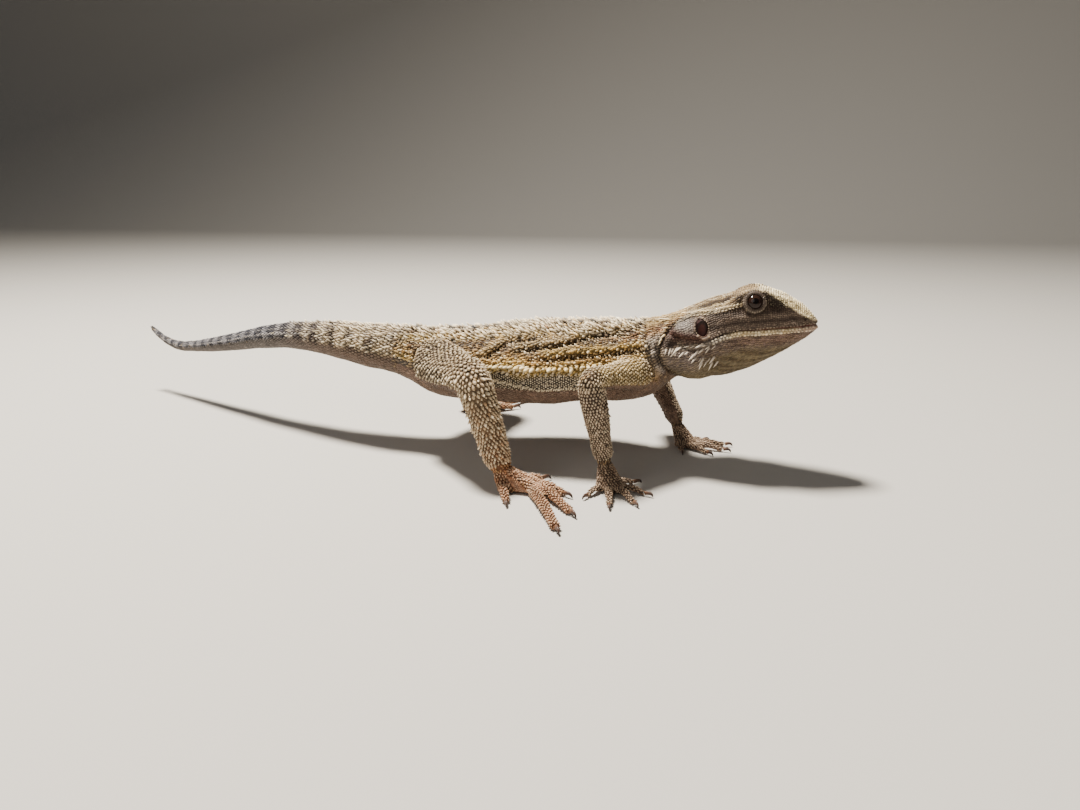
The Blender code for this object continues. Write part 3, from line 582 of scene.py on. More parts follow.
def lay_rows(chart, levels, arc, pitch, seed, drift=0.08):
    """Roots of scales in rows across a line. Each row's arc is divided by the way round the hide over the
    pitch, and every other row is set over by half a scale. Roots drift a little, and those off the hide are
    dropped."""
    rng = np.random.default_rng(seed)
    turn = np.radians(np.linspace(arc[0], arc[1], 181))
    middle = (turn[1:] + turn[:-1]) / 2
    rows = []
    for k, level in enumerate(levels):
        ring = on_chart(chart, np.full(len(turn), level), turn)
        width = pitch(np.full(len(middle), level), middle) if callable(pitch) else pitch
        run = np.concatenate([[0.0], np.cumsum(np.linalg.norm(np.diff(ring, axis=0), axis=1) / width)])
        count = int(round(run[-1]))
        if count >= 1:
            shares = (np.arange(count) + 0.25 + 0.5 * (k % 2)) * run[-1] / count
            rows.append(np.stack([np.full(count, level), np.interp(shares, run, turn)], axis=1))
    at, turn = np.concatenate(rows).T
    size = pitch(at, turn) if callable(pitch) else np.full(len(at), float(pitch))
    reach = np.maximum(chart_value(chart["reach"], chart, at, turn), 0.3)
    at = at + rng.normal(0, drift, len(at)) * size
    turn = turn + rng.normal(0, drift, len(at)) * size / reach
    keep = chart_value(chart["there"].astype(float), chart, at, turn) > 0.5
    return at[keep], turn[keep], size[keep]


charts = {"body": make_chart("body", 200)}
for name in line_names[1:]:
    charts[name] = make_chart(name, 28 if name[-1].isdigit() else 64)
body_chart = charts["body"]
body_x = lines["body"]["middle"][:, 0]


def station(x):
    """Distance along the backbone at a given x."""
    return np.interp(x, body_x, np.arange(len(body_x)) * lines["body"]["step"])


def along_drawn(drawn, side, spacing, offset=0.0):
    """Chart positions on one flank that follow a line drawn in the upright plane, at even spacing or at its
    corners: for each place the ring there is searched for the angle at the right height, and the station is
    corrected for the ring's lean."""
    drawn = np.array(drawn, float)
    run = np.concatenate([[0.0], np.cumsum(np.hypot(*np.diff(drawn, axis=0).T))])
    wanted = np.arange(spacing / 2, run[-1], spacing) if spacing else run
    x, z = np.interp(wanted, run, drawn[:, 0]), np.interp(wanted, run, drawn[:, 1]) + offset
    at = station(x)
    search = np.radians(np.linspace(12.0, 172.0, 161)) * -side
    for _ in range(4):
        ring = on_chart(body_chart, np.repeat(at, len(search)), np.tile(search, len(at)))
        ring = ring.reshape(len(at), -1, 3)
        best = np.abs(ring[:, :, 2] - z[:, None]).argmin(1)
        at = at + 0.8 * (x - ring[np.arange(len(at)), best, 0])
    return at, search[best]


# Cream and gold over brown, as laid down in the hide's pigment: pale blotches beside a spotted backbone, a
# bright stripe on each upper flank, a banded tail, rusty feet and a grey beard. Some of it is painted light:
# painted shade beneath the body, tail and legs, in folds and creases and on the side of the head, and a
# painted highlight behind each ear. Hide and scales both take them from here.
WHITE, CREAM, STRAW = (0.88, 0.75, 0.53), (0.66, 0.47, 0.22), (0.66, 0.45, 0.13)
GOLD, TAN = (0.42, 0.235, 0.058), (0.27, 0.155, 0.065)
BROWN, BUFF = (0.100, 0.052, 0.023), (0.42, 0.275, 0.12)
DARK, SLATE, RUST = (0.050, 0.030, 0.018), (0.085, 0.090, 0.120), (0.30, 0.115, 0.050)
# The belly's colour is a brown darkened with painted shade, for the underside, beneath the neck and inside
# legs.
BELLY_IN_SHADE, ROSE, ASH = (0.180, 0.118, 0.086), (0.40, 0.21, 0.165), (0.215, 0.180, 0.150)
FOOT_RUST, OLIVE, BLOOD = (0.50, 0.215, 0.098), (0.190, 0.150, 0.085), (0.075, 0.022, 0.018)
SNOUT_STRAW, SNOUT_WHITE, LIP_PINK = (0.82, 0.66, 0.35), (0.86, 0.75, 0.52), (0.62, 0.42, 0.36)
THIGH_BROWN, SHANK_TAN, ARM_GOLD = (0.20, 0.130, 0.082), (0.56, 0.38, 0.22), (0.80, 0.58, 0.24)
TAIL_BANDS = 9.0                           # mm between bands at the root of the tail
SPOT_GAP, BLOTCH_GAP = 4.2, 8.4            # mm between the spots and the pale blotches along the backbone


def blend(under, over, share):
    """Colours moved from under towards over by each one's share."""
    return under + (np.asarray(over) - under) * np.clip(share, 0.0, 1.0)[:, None]


def all_over(colour, place):
    """The same colour at every place."""
    return np.tile(colour, (len(place), 1))


def ramp(value, stops):
    """A colour for each value, blended between (value, colour) stops."""
    at = [stop for stop, _ in stops]
    return np.stack([np.interp(value, at, [colour[k] for _, colour in stops]) for k in range(3)], axis=1)


def trunk_colour(place, turn):
    """The trunk from backbone to belly, by the angle round it in degrees."""
    x, y, z = place.T
    loose = turn + 5 * mottle(place, 5.0, 3)
    colour = ramp(loose, [(0, BUFF), (9, CREAM), (17, BUFF), (26, TAN), (38, BUFF), (47, STRAW), (52, TAN),
                          (58, BROWN), (70, TAN), (79, GOLD), (84, STRAW), (91, STRAW), (95, ASH), (104, ASH),
                          (107, BELLY_IN_SHADE), (180, BELLY_IN_SHADE)])
    off = np.where(turn < 90, np.abs(y - midline(x)), 99.0)
    blotch = smooth_step(np.cos(2 * np.pi * x / BLOTCH_GAP), -0.5, 0.3)
    colour = blend(colour, WHITE, 0.85 * bump(off - 2.6, 2.2) * blotch)
    colour = blend(colour, STRAW, 0.6 * bump(off - 6.5, 2.0) * smooth_step(mottle(place, 3.4, 18), -0.4, 0.3))
    spot = smooth_step(np.cos(2 * np.pi * (x + 0.8 * np.sign(y)) / SPOT_GAP), 0.2, 0.6)
    spot = spot * smooth_step(2.7 - off, 0.0, 0.6)
    colour = blend(colour, BROWN, 0.95 * (loose < 56) * smooth_step(mottle(place, 1.9, 4), -0.15, 0.35))
    colour = blend(colour, (0.035, 0.035, 0.045), 0.95 * spot)
    colour = blend(colour, RUST, 0.55 * bump(x - 82.0, 7.0) * bump(turn - 52.0, 13.0))
    colour = blend(colour, STRAW, 0.8 * bump(x - 7.0, 10.0) * bump(turn - 44.0, 8.0))
    colour = blend(colour, DARK, 0.75 * bump(x - 16.0, 11.0) * bump(turn - 66.0, 12.0))
    # Along each fold a dark band in its groove and a pale one on its crest: partly the flank's own banding,
    # partly painted shade and painted highlight.
    for k, drawn in enumerate(FLANK_FOLDS):
        gap, share = to_line(x, z, drawn)
        held = taper(share) * (turn > 35) * (turn < 100)
        colour = blend(colour, DARK, 0.85 * held * bump(gap + 0.4, 1.15))
        colour = blend(colour, (CREAM, CREAM, STRAW)[k], 0.75 * held * bump(gap - 1.5, 1.0))
    return colour


def tail_colour(place, turn, at):
    """The tail: pale bands over slate on its upper half, fine pale keels on its sides, and beneath a plain grey
    darkened with painted shade.
    """
    back = station(0.0) - at
    wave = np.cos(2 * np.pi * (back / TAIL_BANDS + 0.00155 * back**2 / TAIL_BANDS) + 0.02 * turn)
    far, mid = smooth_step(back, 22.0, 66.0), smooth_step(back, 15.0, 50.0)
    pale = wave * (0.35 + 0.65 * mid) + (0.85 - 0.5 * mid) * mottle(place, 1.9, 5) + 0.25 * (1 - mid)
    band = smooth_step(pale - 0.35 * bump(back - 66.0, 20.0), -0.35, 0.45)
    low = blend(all_over((0.085, 0.052, 0.032), place), (0.030, 0.032, 0.048), far)
    high = blend(all_over((0.52, 0.395, 0.24), place), (0.215, 0.21, 0.235), far)
    upper = low + (high - low) * band[:, None]
    keel = smooth_step(np.cos(np.radians(turn) * 15.0), 0.3, 0.9) * bump(turn - 75.0, 30.0) * far
    upper = blend(upper, (0.50, 0.46, 0.44), 0.6 * keel)
    # The underside's grey is darkened with painted shade.
    under = blend(all_over((0.150, 0.102, 0.076), place), (0.120, 0.102, 0.093), far)
    edge = 92.0 + 6 * mottle(place, 3.0, 6)
    colour = upper + (under - upper) * smooth_step(turn, edge - 8, edge + 8)[:, None]
    return blend(colour, SLATE, smooth_step(back, 156.0, 160.0))


def snout_and_crown(place, out):
    """The top of the head: striped along it behind the eyes, brown between them, and pale over the snout."""
    x = place[:, 0]
    flecks = smooth_step(mottle(place, 0.9, 7), 0.15, 0.6)
    snout = blend(all_over(SNOUT_STRAW, place), SNOUT_WHITE, 0.5 + 0.5 * mottle(place, 3.0, 8))
    snout = blend(snout, BROWN, 0.5 * flecks)
    crown = ramp(out + 0.7 * mottle(place, 1.8, 10), [
        (0.5, (0.10, 0.060, 0.033)), (1.8, (0.13, 0.080, 0.044)), (2.6, (0.42, 0.31, 0.18)),
        (3.8, (0.17, 0.108, 0.058)), (4.8, (0.040, 0.022, 0.013)), (7.2, (0.045, 0.026, 0.015)), (8.1, CREAM),
        (9.2, (0.26, 0.175, 0.085)), (10.0, BROWN)])
    crown = blend(crown, BROWN, 0.55 * smooth_step(mottle(place, 1.2, 11), -0.1, 0.7))
    brow = smooth_step(x, 111.0, 115.0) * (0.75 + 0.25 * mottle(place, 1.3, 19))
    crown = blend(crown, (0.19, 0.130, 0.084), brow)
    ahead = smooth_step(x + 0.9 * mottle(place, 1.6, 20), 118.0, 123.5)
    return crown + (snout - crown) * ahead[:, None]


def ear_marks(colour, place, out):
    """A pale grey patch behind the ear that is a painted highlight, painted shade along the fold under it, a
    paler rim and the dark red of the opening.
    """
    x, _, z = place.T
    # Painted highlight: the pale grey patch behind the ear.
    patch = np.exp(-((x - 98.0) / 3.8)**2 - ((z - 48.6) / 2.2)**2)
    colour = blend(colour, (0.27, 0.235, 0.215), 0.85 * (out > 7) * patch)
    # Painted shade in the fold under the ear.
    fold, fold_share = to_line(x, z, EAR_FOLD)
    colour = blend(colour, (0.075, 0.030, 0.021), 0.9 * taper(fold_share) * bump(fold - 0.6, 1.5) * (out > 6))
    oval = ear_oval(place, "R")
    colour = blend(colour, (0.26, 0.18, 0.13), 0.7 * bump(oval - 1.2, 0.12) * (out > 7))
    return blend(colour, BLOOD, smooth_step(1.0 - oval, -0.05, 0.12) * (out > 7))


def jaw_colour(place, out, mouth):
    """Below the mouth: a pale, rosy lip, a grey jowl with fine creases, and a wrinkled olive throat."""
    x, _, z = place.T
    dusk = 0.4 + 0.35 * mottle(place, 2.0, 12)
    jaw = blend(all_over((0.215, 0.166, 0.140), place), (0.120, 0.080, 0.062), dusk)
    jaw = blend(jaw, ROSE, 0.30 * bump(mouth + 3.2, 1.5) * smooth_step(x, 108.0, 118.0))
    jaw = blend(jaw, OLIVE, 0.85 * smooth_step(-mouth, 4.5, 7.5))
    wrinkles = 0.45 * smooth_step(throat_wrinkles(x, out), 0.2, 0.9)
    jaw = blend(jaw, DARK, wrinkles * smooth_step(-mouth, 4.5, 7.0) * smooth_step(x, 102, 107))
    patch = np.exp(-((x - 97.0) / 7.0)**4 - ((z - 38.6) / 4.8)**4)
    jaw = blend(jaw, (0.235, 0.188, 0.168), 0.85 * patch * (out > 6))
    # Painted shade along the groove of the beard fold.
    groove, _ = to_line(x, z, BEARD_FOLD)
    jaw = blend(jaw, DARK, 0.8 * bump(groove, 0.35))
    jaw = blend(jaw, DARK, 0.55 * smooth_step(np.sin((mouth + 0.12 * x) * 2 * np.pi / 1.5), 0.5, 0.95)
                * smooth_step(-mouth, 1.6, 2.0) * smooth_step(mouth, -5.5, -4.5))
    lip = blend(all_over(CREAM, place), WHITE, 0.5 + 0.5 * mottle(place, 1.2, 13))
    lip = blend(lip, LIP_PINK, 0.75 * smooth_step(x, 128.0, 137.0))
    lip = blend(lip, ASH, smooth_step(114.0 - x, 0.0, 5.0))
    return jaw + (lip - jaw) * (smooth_step(mouth, -1.75, -1.45) * smooth_step(-mouth, 0.0, 0.15))[:, None]


def eye_marks(colour, place):
    """Dark lids round each eye, with a paler edge in front, below and behind, and a dark edge at the ball."""
    for letter in SIDES:
        centre, _, axes = eye_frame(letter)
        local = (place - centre) @ axes.T
        reach = np.hypot(local[:, 0], local[:, 1])
        near = (local[:, 2] > -0.5) & (local[:, 2] < 5)
        colour = blend(colour, DARK, 0.75 * near * bump(reach - 4.1, 0.8) * (local[:, 1] < 2.2))
        ring = smooth_step(reach, 2.05, 2.3) * smooth_step(-reach, -3.75, -3.45)
        colour = blend(colour, (0.088, 0.062, 0.048), 0.9 * near * ring)
        edge = 0.6 * near * bump(reach - 3.3, 0.22) * smooth_step(1.8 - local[:, 1], 0.0, 1.5)
        colour = blend(colour, (0.30, 0.24, 0.185), edge)
        colour = blend(colour, DARK, 0.75 * near * bump(reach - 2.35, 0.25))
    return colour


def head_colour(place, turn):
    """The head, by lines drawn on its side: mouth, canthus, crown row, ear and neck crease."""
    x, y, z = place.T
    out = np.abs(y - midline(x))
    mouth, _ = to_line(x, z, MOUTH)
    canthus, _ = to_line(x, z, CANTHUS)
    crown, crown_share = to_line(x, z, CROWN_ROW)
    high = snout_and_crown(place, out)
    # The side of the head is dark brown, darkened further with painted shade.
    dusk = 0.5 + 0.45 * mottle(place, 2.2, 9)
    side = blend(all_over((0.056, 0.036, 0.027), place), (0.036, 0.022, 0.016), dusk)
    over = smooth_step(np.where(x > 113.5, canthus, crown), -0.5, 0.5)
    over = np.where(turn < 30, 1.0, over)
    colour = side + (high - side) * over[:, None]
    low = over < 0.5
    cheek_streak = 0.30 * bump(mouth - 4.0, 0.9) * smooth_step(x, 104.0, 112.0) * low
    colour = blend(colour, (0.36, 0.26, 0.19), cheek_streak)
    colour = blend(colour, DARK, 0.55 * bump(mouth - 6.0, 1.2) * smooth_step(x, 121.0, 125.0) * low)
    upper_lip = 0.25 * smooth_step(mouth, 0.2, 0.5) * smooth_step(-mouth, -2.4, -1.8)
    colour = blend(colour, (0.40, 0.29, 0.22), upper_lip)
    colour = blend(colour, WHITE, 0.6 * bump(crown, 0.6) * taper(crown_share) * (out > 4))
    # A dark stripe below the crown row: partly the head's own stripe, partly painted shade under its ridge.
    colour = blend(colour, DARK, 0.70 * bump(crown + 1.9, 1.5) * taper(crown_share) * (out > 4))
    colour = ear_marks(colour, place, out)
    below = smooth_step(-mouth, 0.0, 0.1)
    colour = colour + (jaw_colour(place, out, mouth) - colour) * below[:, None]
    slit = bump(mouth, 0.22)
    colour = blend(colour, (0.30, 0.09, 0.07), 0.8 * slit * smooth_step(x, 112.0, 126.0))
    corner = smooth_step(118.0 - x, 0.0, 6.0)
    colour = blend(colour, DARK, 0.7 * slit * corner * smooth_step(x, 100.0, 106.0))
    colour = eye_marks(colour, place)
    # Painted shade in the pit of each nostril.
    nostril_x, nostril_out, nostril_z = NOSTRIL_SPOT
    nostril = np.hypot(np.hypot(x - nostril_x, z - nostril_z), out - nostril_out)
    return blend(colour, DARK, 0.9 * bump(nostril, 0.65))


def neck_colour(place, turn):
    """Between the shoulders and the head: a crease darkened with painted shade, with grey, wrinkled hide
    behind it; beneath, the belly's colour with its painted shade.
    """
    x, _, z = place.T
    crease, _ = from_crease(x, z)
    colour = ramp(turn, [(0, BUFF), (25, CREAM), (42, RUST), (52, TAN), (66, (0.43, 0.39, 0.34)),
                         (110, (0.38, 0.33, 0.29)), (125, BELLY_IN_SHADE), (180, BELLY_IN_SHADE)])
    colour = blend(colour, BROWN, 0.3 + 0.5 * mottle(place, 1.8, 14))
    # Painted shade along the neck crease.
    return blend(colour, DARK, 0.9 * bump(crease, 0.9) * (turn > 40))


def limb_colour(place, turn, at, name):
    """A leg: dark above with pale scales, plain and rosy on its inner side under painted shade, rusty towards
    the hind foot.
    """
    share = at / lines[name]["length"]
    if name.startswith("front"):
        outer = ramp(share + 0.04 * mottle(place, 3.0, 15), [
            (0.0, GOLD), (0.10, ARM_GOLD), (0.38, ARM_GOLD), (0.47, TAN), (0.56, (0.15, 0.094, 0.060)),
            (1.0, (0.145, 0.088, 0.056))])
        # The inner side takes the belly's colour, darkened with painted shade.
        inner = all_over(BELLY_IN_SHADE, place)
    else:
        outer = ramp(share + 0.03 * mottle(place, 3.0, 15), [
            (0.0, THIGH_BROWN), (0.3, THIGH_BROWN), (0.45, (0.37, 0.245, 0.142)), (0.6, SHANK_TAN),
            (0.8, (0.59, 0.35, 0.185)), (1.0, FOOT_RUST)])
        inner = ramp(share, [(0.0, BELLY_IN_SHADE), (0.7, BELLY_IN_SHADE), (1.0, (0.34, 0.19, 0.115))])
    outer = blend(outer, DARK, 0.35 * smooth_step(mottle(place, 2.4, 16), 0.2, 0.8))
    return outer + (inner - outer) * smooth_step(turn, 108.0, 128.0)[:, None]


def paw_colour(place, turn, name):
    """Hands grey-brown, feet rusty, both paler beneath."""
    base = (0.185, 0.112, 0.074) if name.startswith("front") else (0.40, 0.165, 0.072)
    colour = blend(all_over(base, place), BROWN, 0.15 + 0.3 * mottle(place, 1.7, 17))
    return blend(colour, (0.34, 0.22, 0.16), 0.7 * smooth_step(turn, 110.0, 140.0))


def markings(name, place, at, turn):
    """The pigment at each place, by the line that it belongs to and the angle round it."""
    turn = np.degrees(np.abs(turn))
    if name != "body":
        paw = name[-1].isdigit()
        return paw_colour(place, turn, name) if paw else limb_colour(place, turn, at, name)
    x = place[:, 0]
    colour = tail_colour(place, turn, at)
    colour = colour + (trunk_colour(place, turn) - colour) * smooth_step(x, -4.0, 3.0)[:, None]
    colour = colour + (neck_colour(place, turn) - colour) * smooth_step(x, 84.0, 88.0)[:, None]
    on_head = smooth_step(from_crease(x, place[:, 2])[0], -0.4, 0.6)
    return colour + (head_colour(place, turn) - colour) * on_head[:, None]


def paint(made, colours):
    """Stores a colour for each vertex as the attribute that the materials read."""
    layer = made.data.color_attributes.new("markings", "FLOAT_COLOR", "POINT")
    rows = np.hstack([np.clip(colours, 0.0, 1.0), np.ones((len(colours), 1))])
    layer.data.foreach_set("color", rows.astype(np.float32).ravel())


def finish(made, material):
    """Gives a piece its one material and smooth shading."""
    made.data.materials.clear()
    made.data.materials.append(material)
    made.data.polygons.foreach_set("use_smooth", np.ones(len(made.data.polygons), bool))


# ---------------------------------------------------------------- the hide: its mesh and finish
# The shaped flesh is thinned and painted with the markings, and darkened with painted shade where the gaps
# between large scales show it. Its finish is dry, finely pebbled skin.
def grain_group():
    """Fine pebbling and uneven tone: the given colour made uneven, a roughness, and a height for a bump."""
    group = bpy.data.node_groups.new("dry_skin_grain", "ShaderNodeTree")
    given = (("Colour", "NodeSocketColor", (0.5, 0.4, 0.3, 1)), ("Pebble Size", "NodeSocketFloat", 0.5),
             ("Unevenness", "NodeSocketFloat", 0.25), ("Base Roughness", "NodeSocketFloat", 0.55))
    for label, socket, default in given:
        made = group.interface.new_socket(label, in_out="INPUT", socket_type=socket)
        made.default_value = default
    sent = (("Colour", "NodeSocketColor"), ("Roughness", "NodeSocketFloat"), ("Height", "NodeSocketFloat"))
    for label, socket in sent:
        group.interface.new_socket(label, in_out="OUTPUT", socket_type=socket)
    nodes, links = group.nodes, group.links
    given, sent = nodes.new("NodeGroupInput"), nodes.new("NodeGroupOutput")
    where = nodes.new("ShaderNodeTexCoord")
    scale = nodes.new("ShaderNodeMath")
    scale.operation = "DIVIDE"
    scale.inputs[0].default_value = 1000.0
    links.new(given.outputs["Pebble Size"], scale.inputs[1])
    pebble = nodes.new("ShaderNodeTexVoronoi")
    pebble.feature = "SMOOTH_F1"
    links.new(where.outputs["Object"], pebble.inputs["Vector"])
    links.new(scale.outputs[0], pebble.inputs["Scale"])
    cloud = nodes.new("ShaderNodeTexNoise")
    cloud.inputs["Scale"].default_value = 420.0
    cloud.inputs["Detail"].default_value = 5.0
    links.new(where.outputs["Object"], cloud.inputs["Vector"])
    tone = nodes.new("ShaderNodeMapRange")
    tone.inputs["From Min"].default_value, tone.inputs["From Max"].default_value = 0.3, 0.7
    links.new(cloud.outputs["Fac"], tone.inputs["Value"])
    low, high = nodes.new("ShaderNodeMath"), nodes.new("ShaderNodeMath")
    low.operation, high.operation = "SUBTRACT", "ADD"
    low.inputs[0].default_value = high.inputs[0].default_value = 1.0
    links.new(given.outputs["Unevenness"], low.inputs[1])
    links.new(given.outputs["Unevenness"], high.inputs[1])
    links.new(low.outputs[0], tone.inputs["To Min"])
    links.new(high.outputs[0], tone.inputs["To Max"])
    tint = nodes.new("ShaderNodeVectorMath")
    tint.operation = "SCALE"
    links.new(given.outputs["Colour"], tint.inputs[0])
    links.new(tone.outputs["Result"], tint.inputs["Scale"])
    links.new(tint.outputs["Vector"], sent.inputs["Colour"])
    rough = nodes.new("ShaderNodeMath")
    rough.operation = "MULTIPLY_ADD"
    rough.inputs[1].default_value = 0.25
    links.new(pebble.outputs["Distance"], rough.inputs[0])
    links.new(given.outputs["Base Roughness"], rough.inputs[2])
    links.new(rough.outputs[0], sent.inputs["Roughness"])
    height = nodes.new("ShaderNodeMath")
    height.operation = "MULTIPLY_ADD"
    height.inputs[1].default_value = -1.0
    links.new(pebble.outputs["Distance"], height.inputs[0])
    links.new(cloud.outputs["Fac"], height.inputs[2])
    links.new(height.outputs[0], sent.inputs["Height"])
    return group


grain = grain_group()


def skin_material(name, pebble, unevenness, roughness, relief):
    """Pigment from the markings, broken up by the skin's grain."""
    made = bpy.data.materials.new(name)
    made.use_nodes = True
    nodes, links = made.node_tree.nodes, made.node_tree.links
    shader = nodes["Principled BSDF"]
    pigment = nodes.new("ShaderNodeAttribute")
    pigment.attribute_name = "markings"
    look = nodes.new("ShaderNodeGroup")
    look.node_tree = grain
    for label, value in (("Pebble Size", pebble), ("Unevenness", unevenness), ("Base Roughness", roughness)):
        look.inputs[label].default_value = value
    relief_node = nodes.new("ShaderNodeBump")
    relief_node.inputs["Strength"].default_value = 1.0
    relief_node.inputs["Distance"].default_value = relief * MM
    shader.inputs["Specular IOR Level"].default_value = 0.22
    links.new(pigment.outputs["Color"], look.inputs["Colour"])
    links.new(look.outputs["Colour"], shader.inputs["Base Color"])
    links.new(look.outputs["Roughness"], shader.inputs["Roughness"])
    links.new(look.outputs["Height"], relief_node.inputs["Height"])
    links.new(relief_node.outputs["Normal"], shader.inputs["Normal"])
    return made


def nearest_lines(points):
    """The two lines whose flesh each point is nearest to: how far outside it, which line, how far along it,
    and the angle round it."""
    far, row = np.full((2, len(points)), 99.0), np.zeros((2, len(points)), int)
    at, turn = np.zeros((2, len(points))), np.zeros((2, len(points)))
    for k, name in enumerate(line_names):
        line = lines[name]
        near = beside(line, points)
        if not len(near):
            continue
        found = round_line(line, points[near])
        first = found[3] < far[0, near]
        for table in (far, row, at, turn):
            table[1, near[first]] = table[0, near[first]]
        second = ~first & (found[3] < far[1, near])
        for rank, closer in ((0, first), (1, second)):
            found_here = (found[3], np.full(len(near), k), found[0], found[1])
            for table, value in zip((far, row, at, turn), found_here):
                table[rank, near[closer]] = value[closer]
    return far, row, at, turn


LINE_BLEND = 2.6                           # mm over which one line's markings pass into another's


def pigment_at(points, nearest=None):
    """The markings at any place on the hide, blended where one line's flesh passes into another's."""
    far, row, at, turn = nearest_lines(points) if nearest is None else nearest
    share = 0.5 * (1 - smooth_step(far[1] - far[0], 0.0, LINE_BLEND))
    colour = np.zeros((len(points), 3))
    for rank, weight in ((0, 1 - share), (1, share)):
        for k in np.unique(row[rank][weight > 0]):
            mine = (row[rank] == k) & (weight > 0)
            seen = markings(line_names[k], points[mine], at[rank][mine], turn[rank][mine])
            colour[mine] += weight[mine, None] * seen
    return colour


GAP_SHADE = 0.22                             # painted shade: the tone of the hide in the gaps between large scales
hide = bpy.data.objects.new("hide", flesh_mesh)
bpy.context.scene.collection.objects.link(hide)
thin = hide.modifiers.new("thin", "DECIMATE")
thin.ratio = HIDE_FACES / (2.0 * len(flesh_mesh.polygons))
hide.data = evaluated(hide)
hide.modifiers.clear()
hide_places, hide_outward = read_points(hide.data)
hide_nearest = nearest_lines(hide_places)
hide_owner, hide_at, hide_turn = (table[0] for table in hide_nearest[1:])
hide_degrees = np.degrees(np.abs(hide_turn))
on_body = hide_owner == 0
# Painted shade on the hide between scales, less of it on the face and none beneath the body or inside legs.
plain = np.where(on_body, smooth_step(hide_degrees, 104.0, 112.0), smooth_step(hide_degrees, 108.0, 130.0))
plain = np.where(on_body & (hide_places[:, 0] > 91), 0.35, plain)
paint(hide, pigment_at(hide_places, hide_nearest) * (GAP_SHADE + (1 - GAP_SHADE) * plain)[:, None])
finish(hide, skin_material("hide_skin", 0.55, 0.22, 0.55, 0.10))
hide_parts(*FLESH)
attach(hide, "root")

# ---------------------------------------------------------------- the coat: kinds of scale
# Horny scales rooted in the hide and lying back along the body. Each kind is one small closed form, given
# across, along its lie and out of the skin in shares of the scale's width, with how far each corner shows the
# pale horn, which is partly the horn's own colour and partly a painted highlight.
BEAD_SIDES = 6
PATCH = 0.003                              # the side of a scale's patch on its unwrap
hide.data.calc_loop_triangles()
corners = np.empty(len(hide.data.loop_triangles) * 3, np.int32)
hide.data.loop_triangles.foreach_get("vertices", corners)
hide_tree = BVHTree.FromPolygons(hide_places.tolist(), corners.reshape(-1, 3).tolist())
seated = []                                # the root of every scale laid so far
horn_skin = skin_material("scale_horn", 0.28, 0.22, 0.50, 0.03)


def settle(points):
    """The nearest place on the hide to each point, the way out of the hide there, and how far off it was."""
    found = [hide_tree.find_nearest(point) for point in points.tolist()]
    place, normal = (np.array([hit[k][:] for hit in found]).reshape(-1, 3) for k in (0, 1))
    return place, normal, np.array([hit[3] for hit in found])


def gaps_to(points, others):
    """The distance from each point to the nearest of the others."""
    tree = KDTree(len(others))
    for k, other in enumerate(others.tolist()):
        tree.insert(other, k)
    tree.balance()
    return np.array([tree.find(point)[2] for point in points.tolist()])


def bead_form(height, pale):
    """A rounded granule: a sunk foot, a shoulder and a crown, each a ring but the last."""
    profile = [(0, -0.25), (0.5, -0.10), (0.46, height * 0.45), (0.27, height * 0.88), (0, height)]
    points, faces = turned(profile, BEAD_SIDES)
    return points, faces, np.clip(points[:, 2] / height, 0, 1)**5 * pale


def keel_form(rise, overhang, pale, flat=0.0):
    """A lozenge with a raised keel from front to back, which ends in a point over the next scale."""
    points = np.array([
        (0.0, -0.52, -0.02), (-0.5, -0.02, -0.02), (0.5, -0.02, -0.02), (0.0, 0.5 + overhang, rise),
        (0.0, -0.2, rise * 0.55), (0.0, 0.28, rise * 0.95), (-0.33, 0.42, rise * 0.30),
        (0.33, 0.42, rise * 0.30), (0.0, 0.12, -0.28)])
    points[:, 2] += flat * np.array([0, 1, 1, 1, 1, 1, 1, 1, 0])
    faces = np.array([(0, 4, 1), (4, 5, 1), (1, 5, 6), (5, 3, 6), (0, 2, 4), (4, 2, 5), (2, 7, 5), (5, 7, 3),
                      (8, 0, 1), (8, 1, 6), (8, 6, 3), (8, 3, 7), (8, 7, 2), (8, 2, 0)])
    return points, faces, np.array([0.0, 0.05, 0.05, 1.0, 0.15, 0.60, 0.20, 0.20, 0.0]) * pale


def spine_form(rise, overhang, pale):
    """A cone whose axis leans back along the lie of the coat and curves towards its point."""
    points, faces = turned([(0, -0.3), (0.5, -0.15), (0.37, 0.30), (0.19, 0.68), (0, 1.0)], BEAD_SIDES)
    share = np.clip(points[:, 2], 0, 1)
    points = points * [1.0, 1.0, rise]
    points[:, 1] += overhang * share**1.3
    return points, faces, np.clip(1.35 * share - 0.15, 0, 1) * pale


FORMS = {
    "bead": bead_form(0.44, 1.0), "flat_bead": bead_form(0.18, 0.6), "lip": bead_form(0.30, 0.8),
    "plate": keel_form(0.05, 0.14, 0.3, flat=0.08), "low_keel": keel_form(0.20, 0.28, 0.9),
    "keel": keel_form(0.38, 0.30, 1.0), "thick_keel": keel_form(0.50, 0.26, 1.0),
    "sharp_keel": keel_form(0.72, 0.58, 1.0), "thorn": spine_form(0.74, 0.62, 1.0),
    "spine": spine_form(0.95, 0.90, 1.0), "cone": spine_form(0.80, 0.40, 1.0),
    "needle": spine_form(1.15, 2.9, 1.0)}
NEEDLE_REACH = 2.75                        # from a needle's foot to its point, in shares of its width


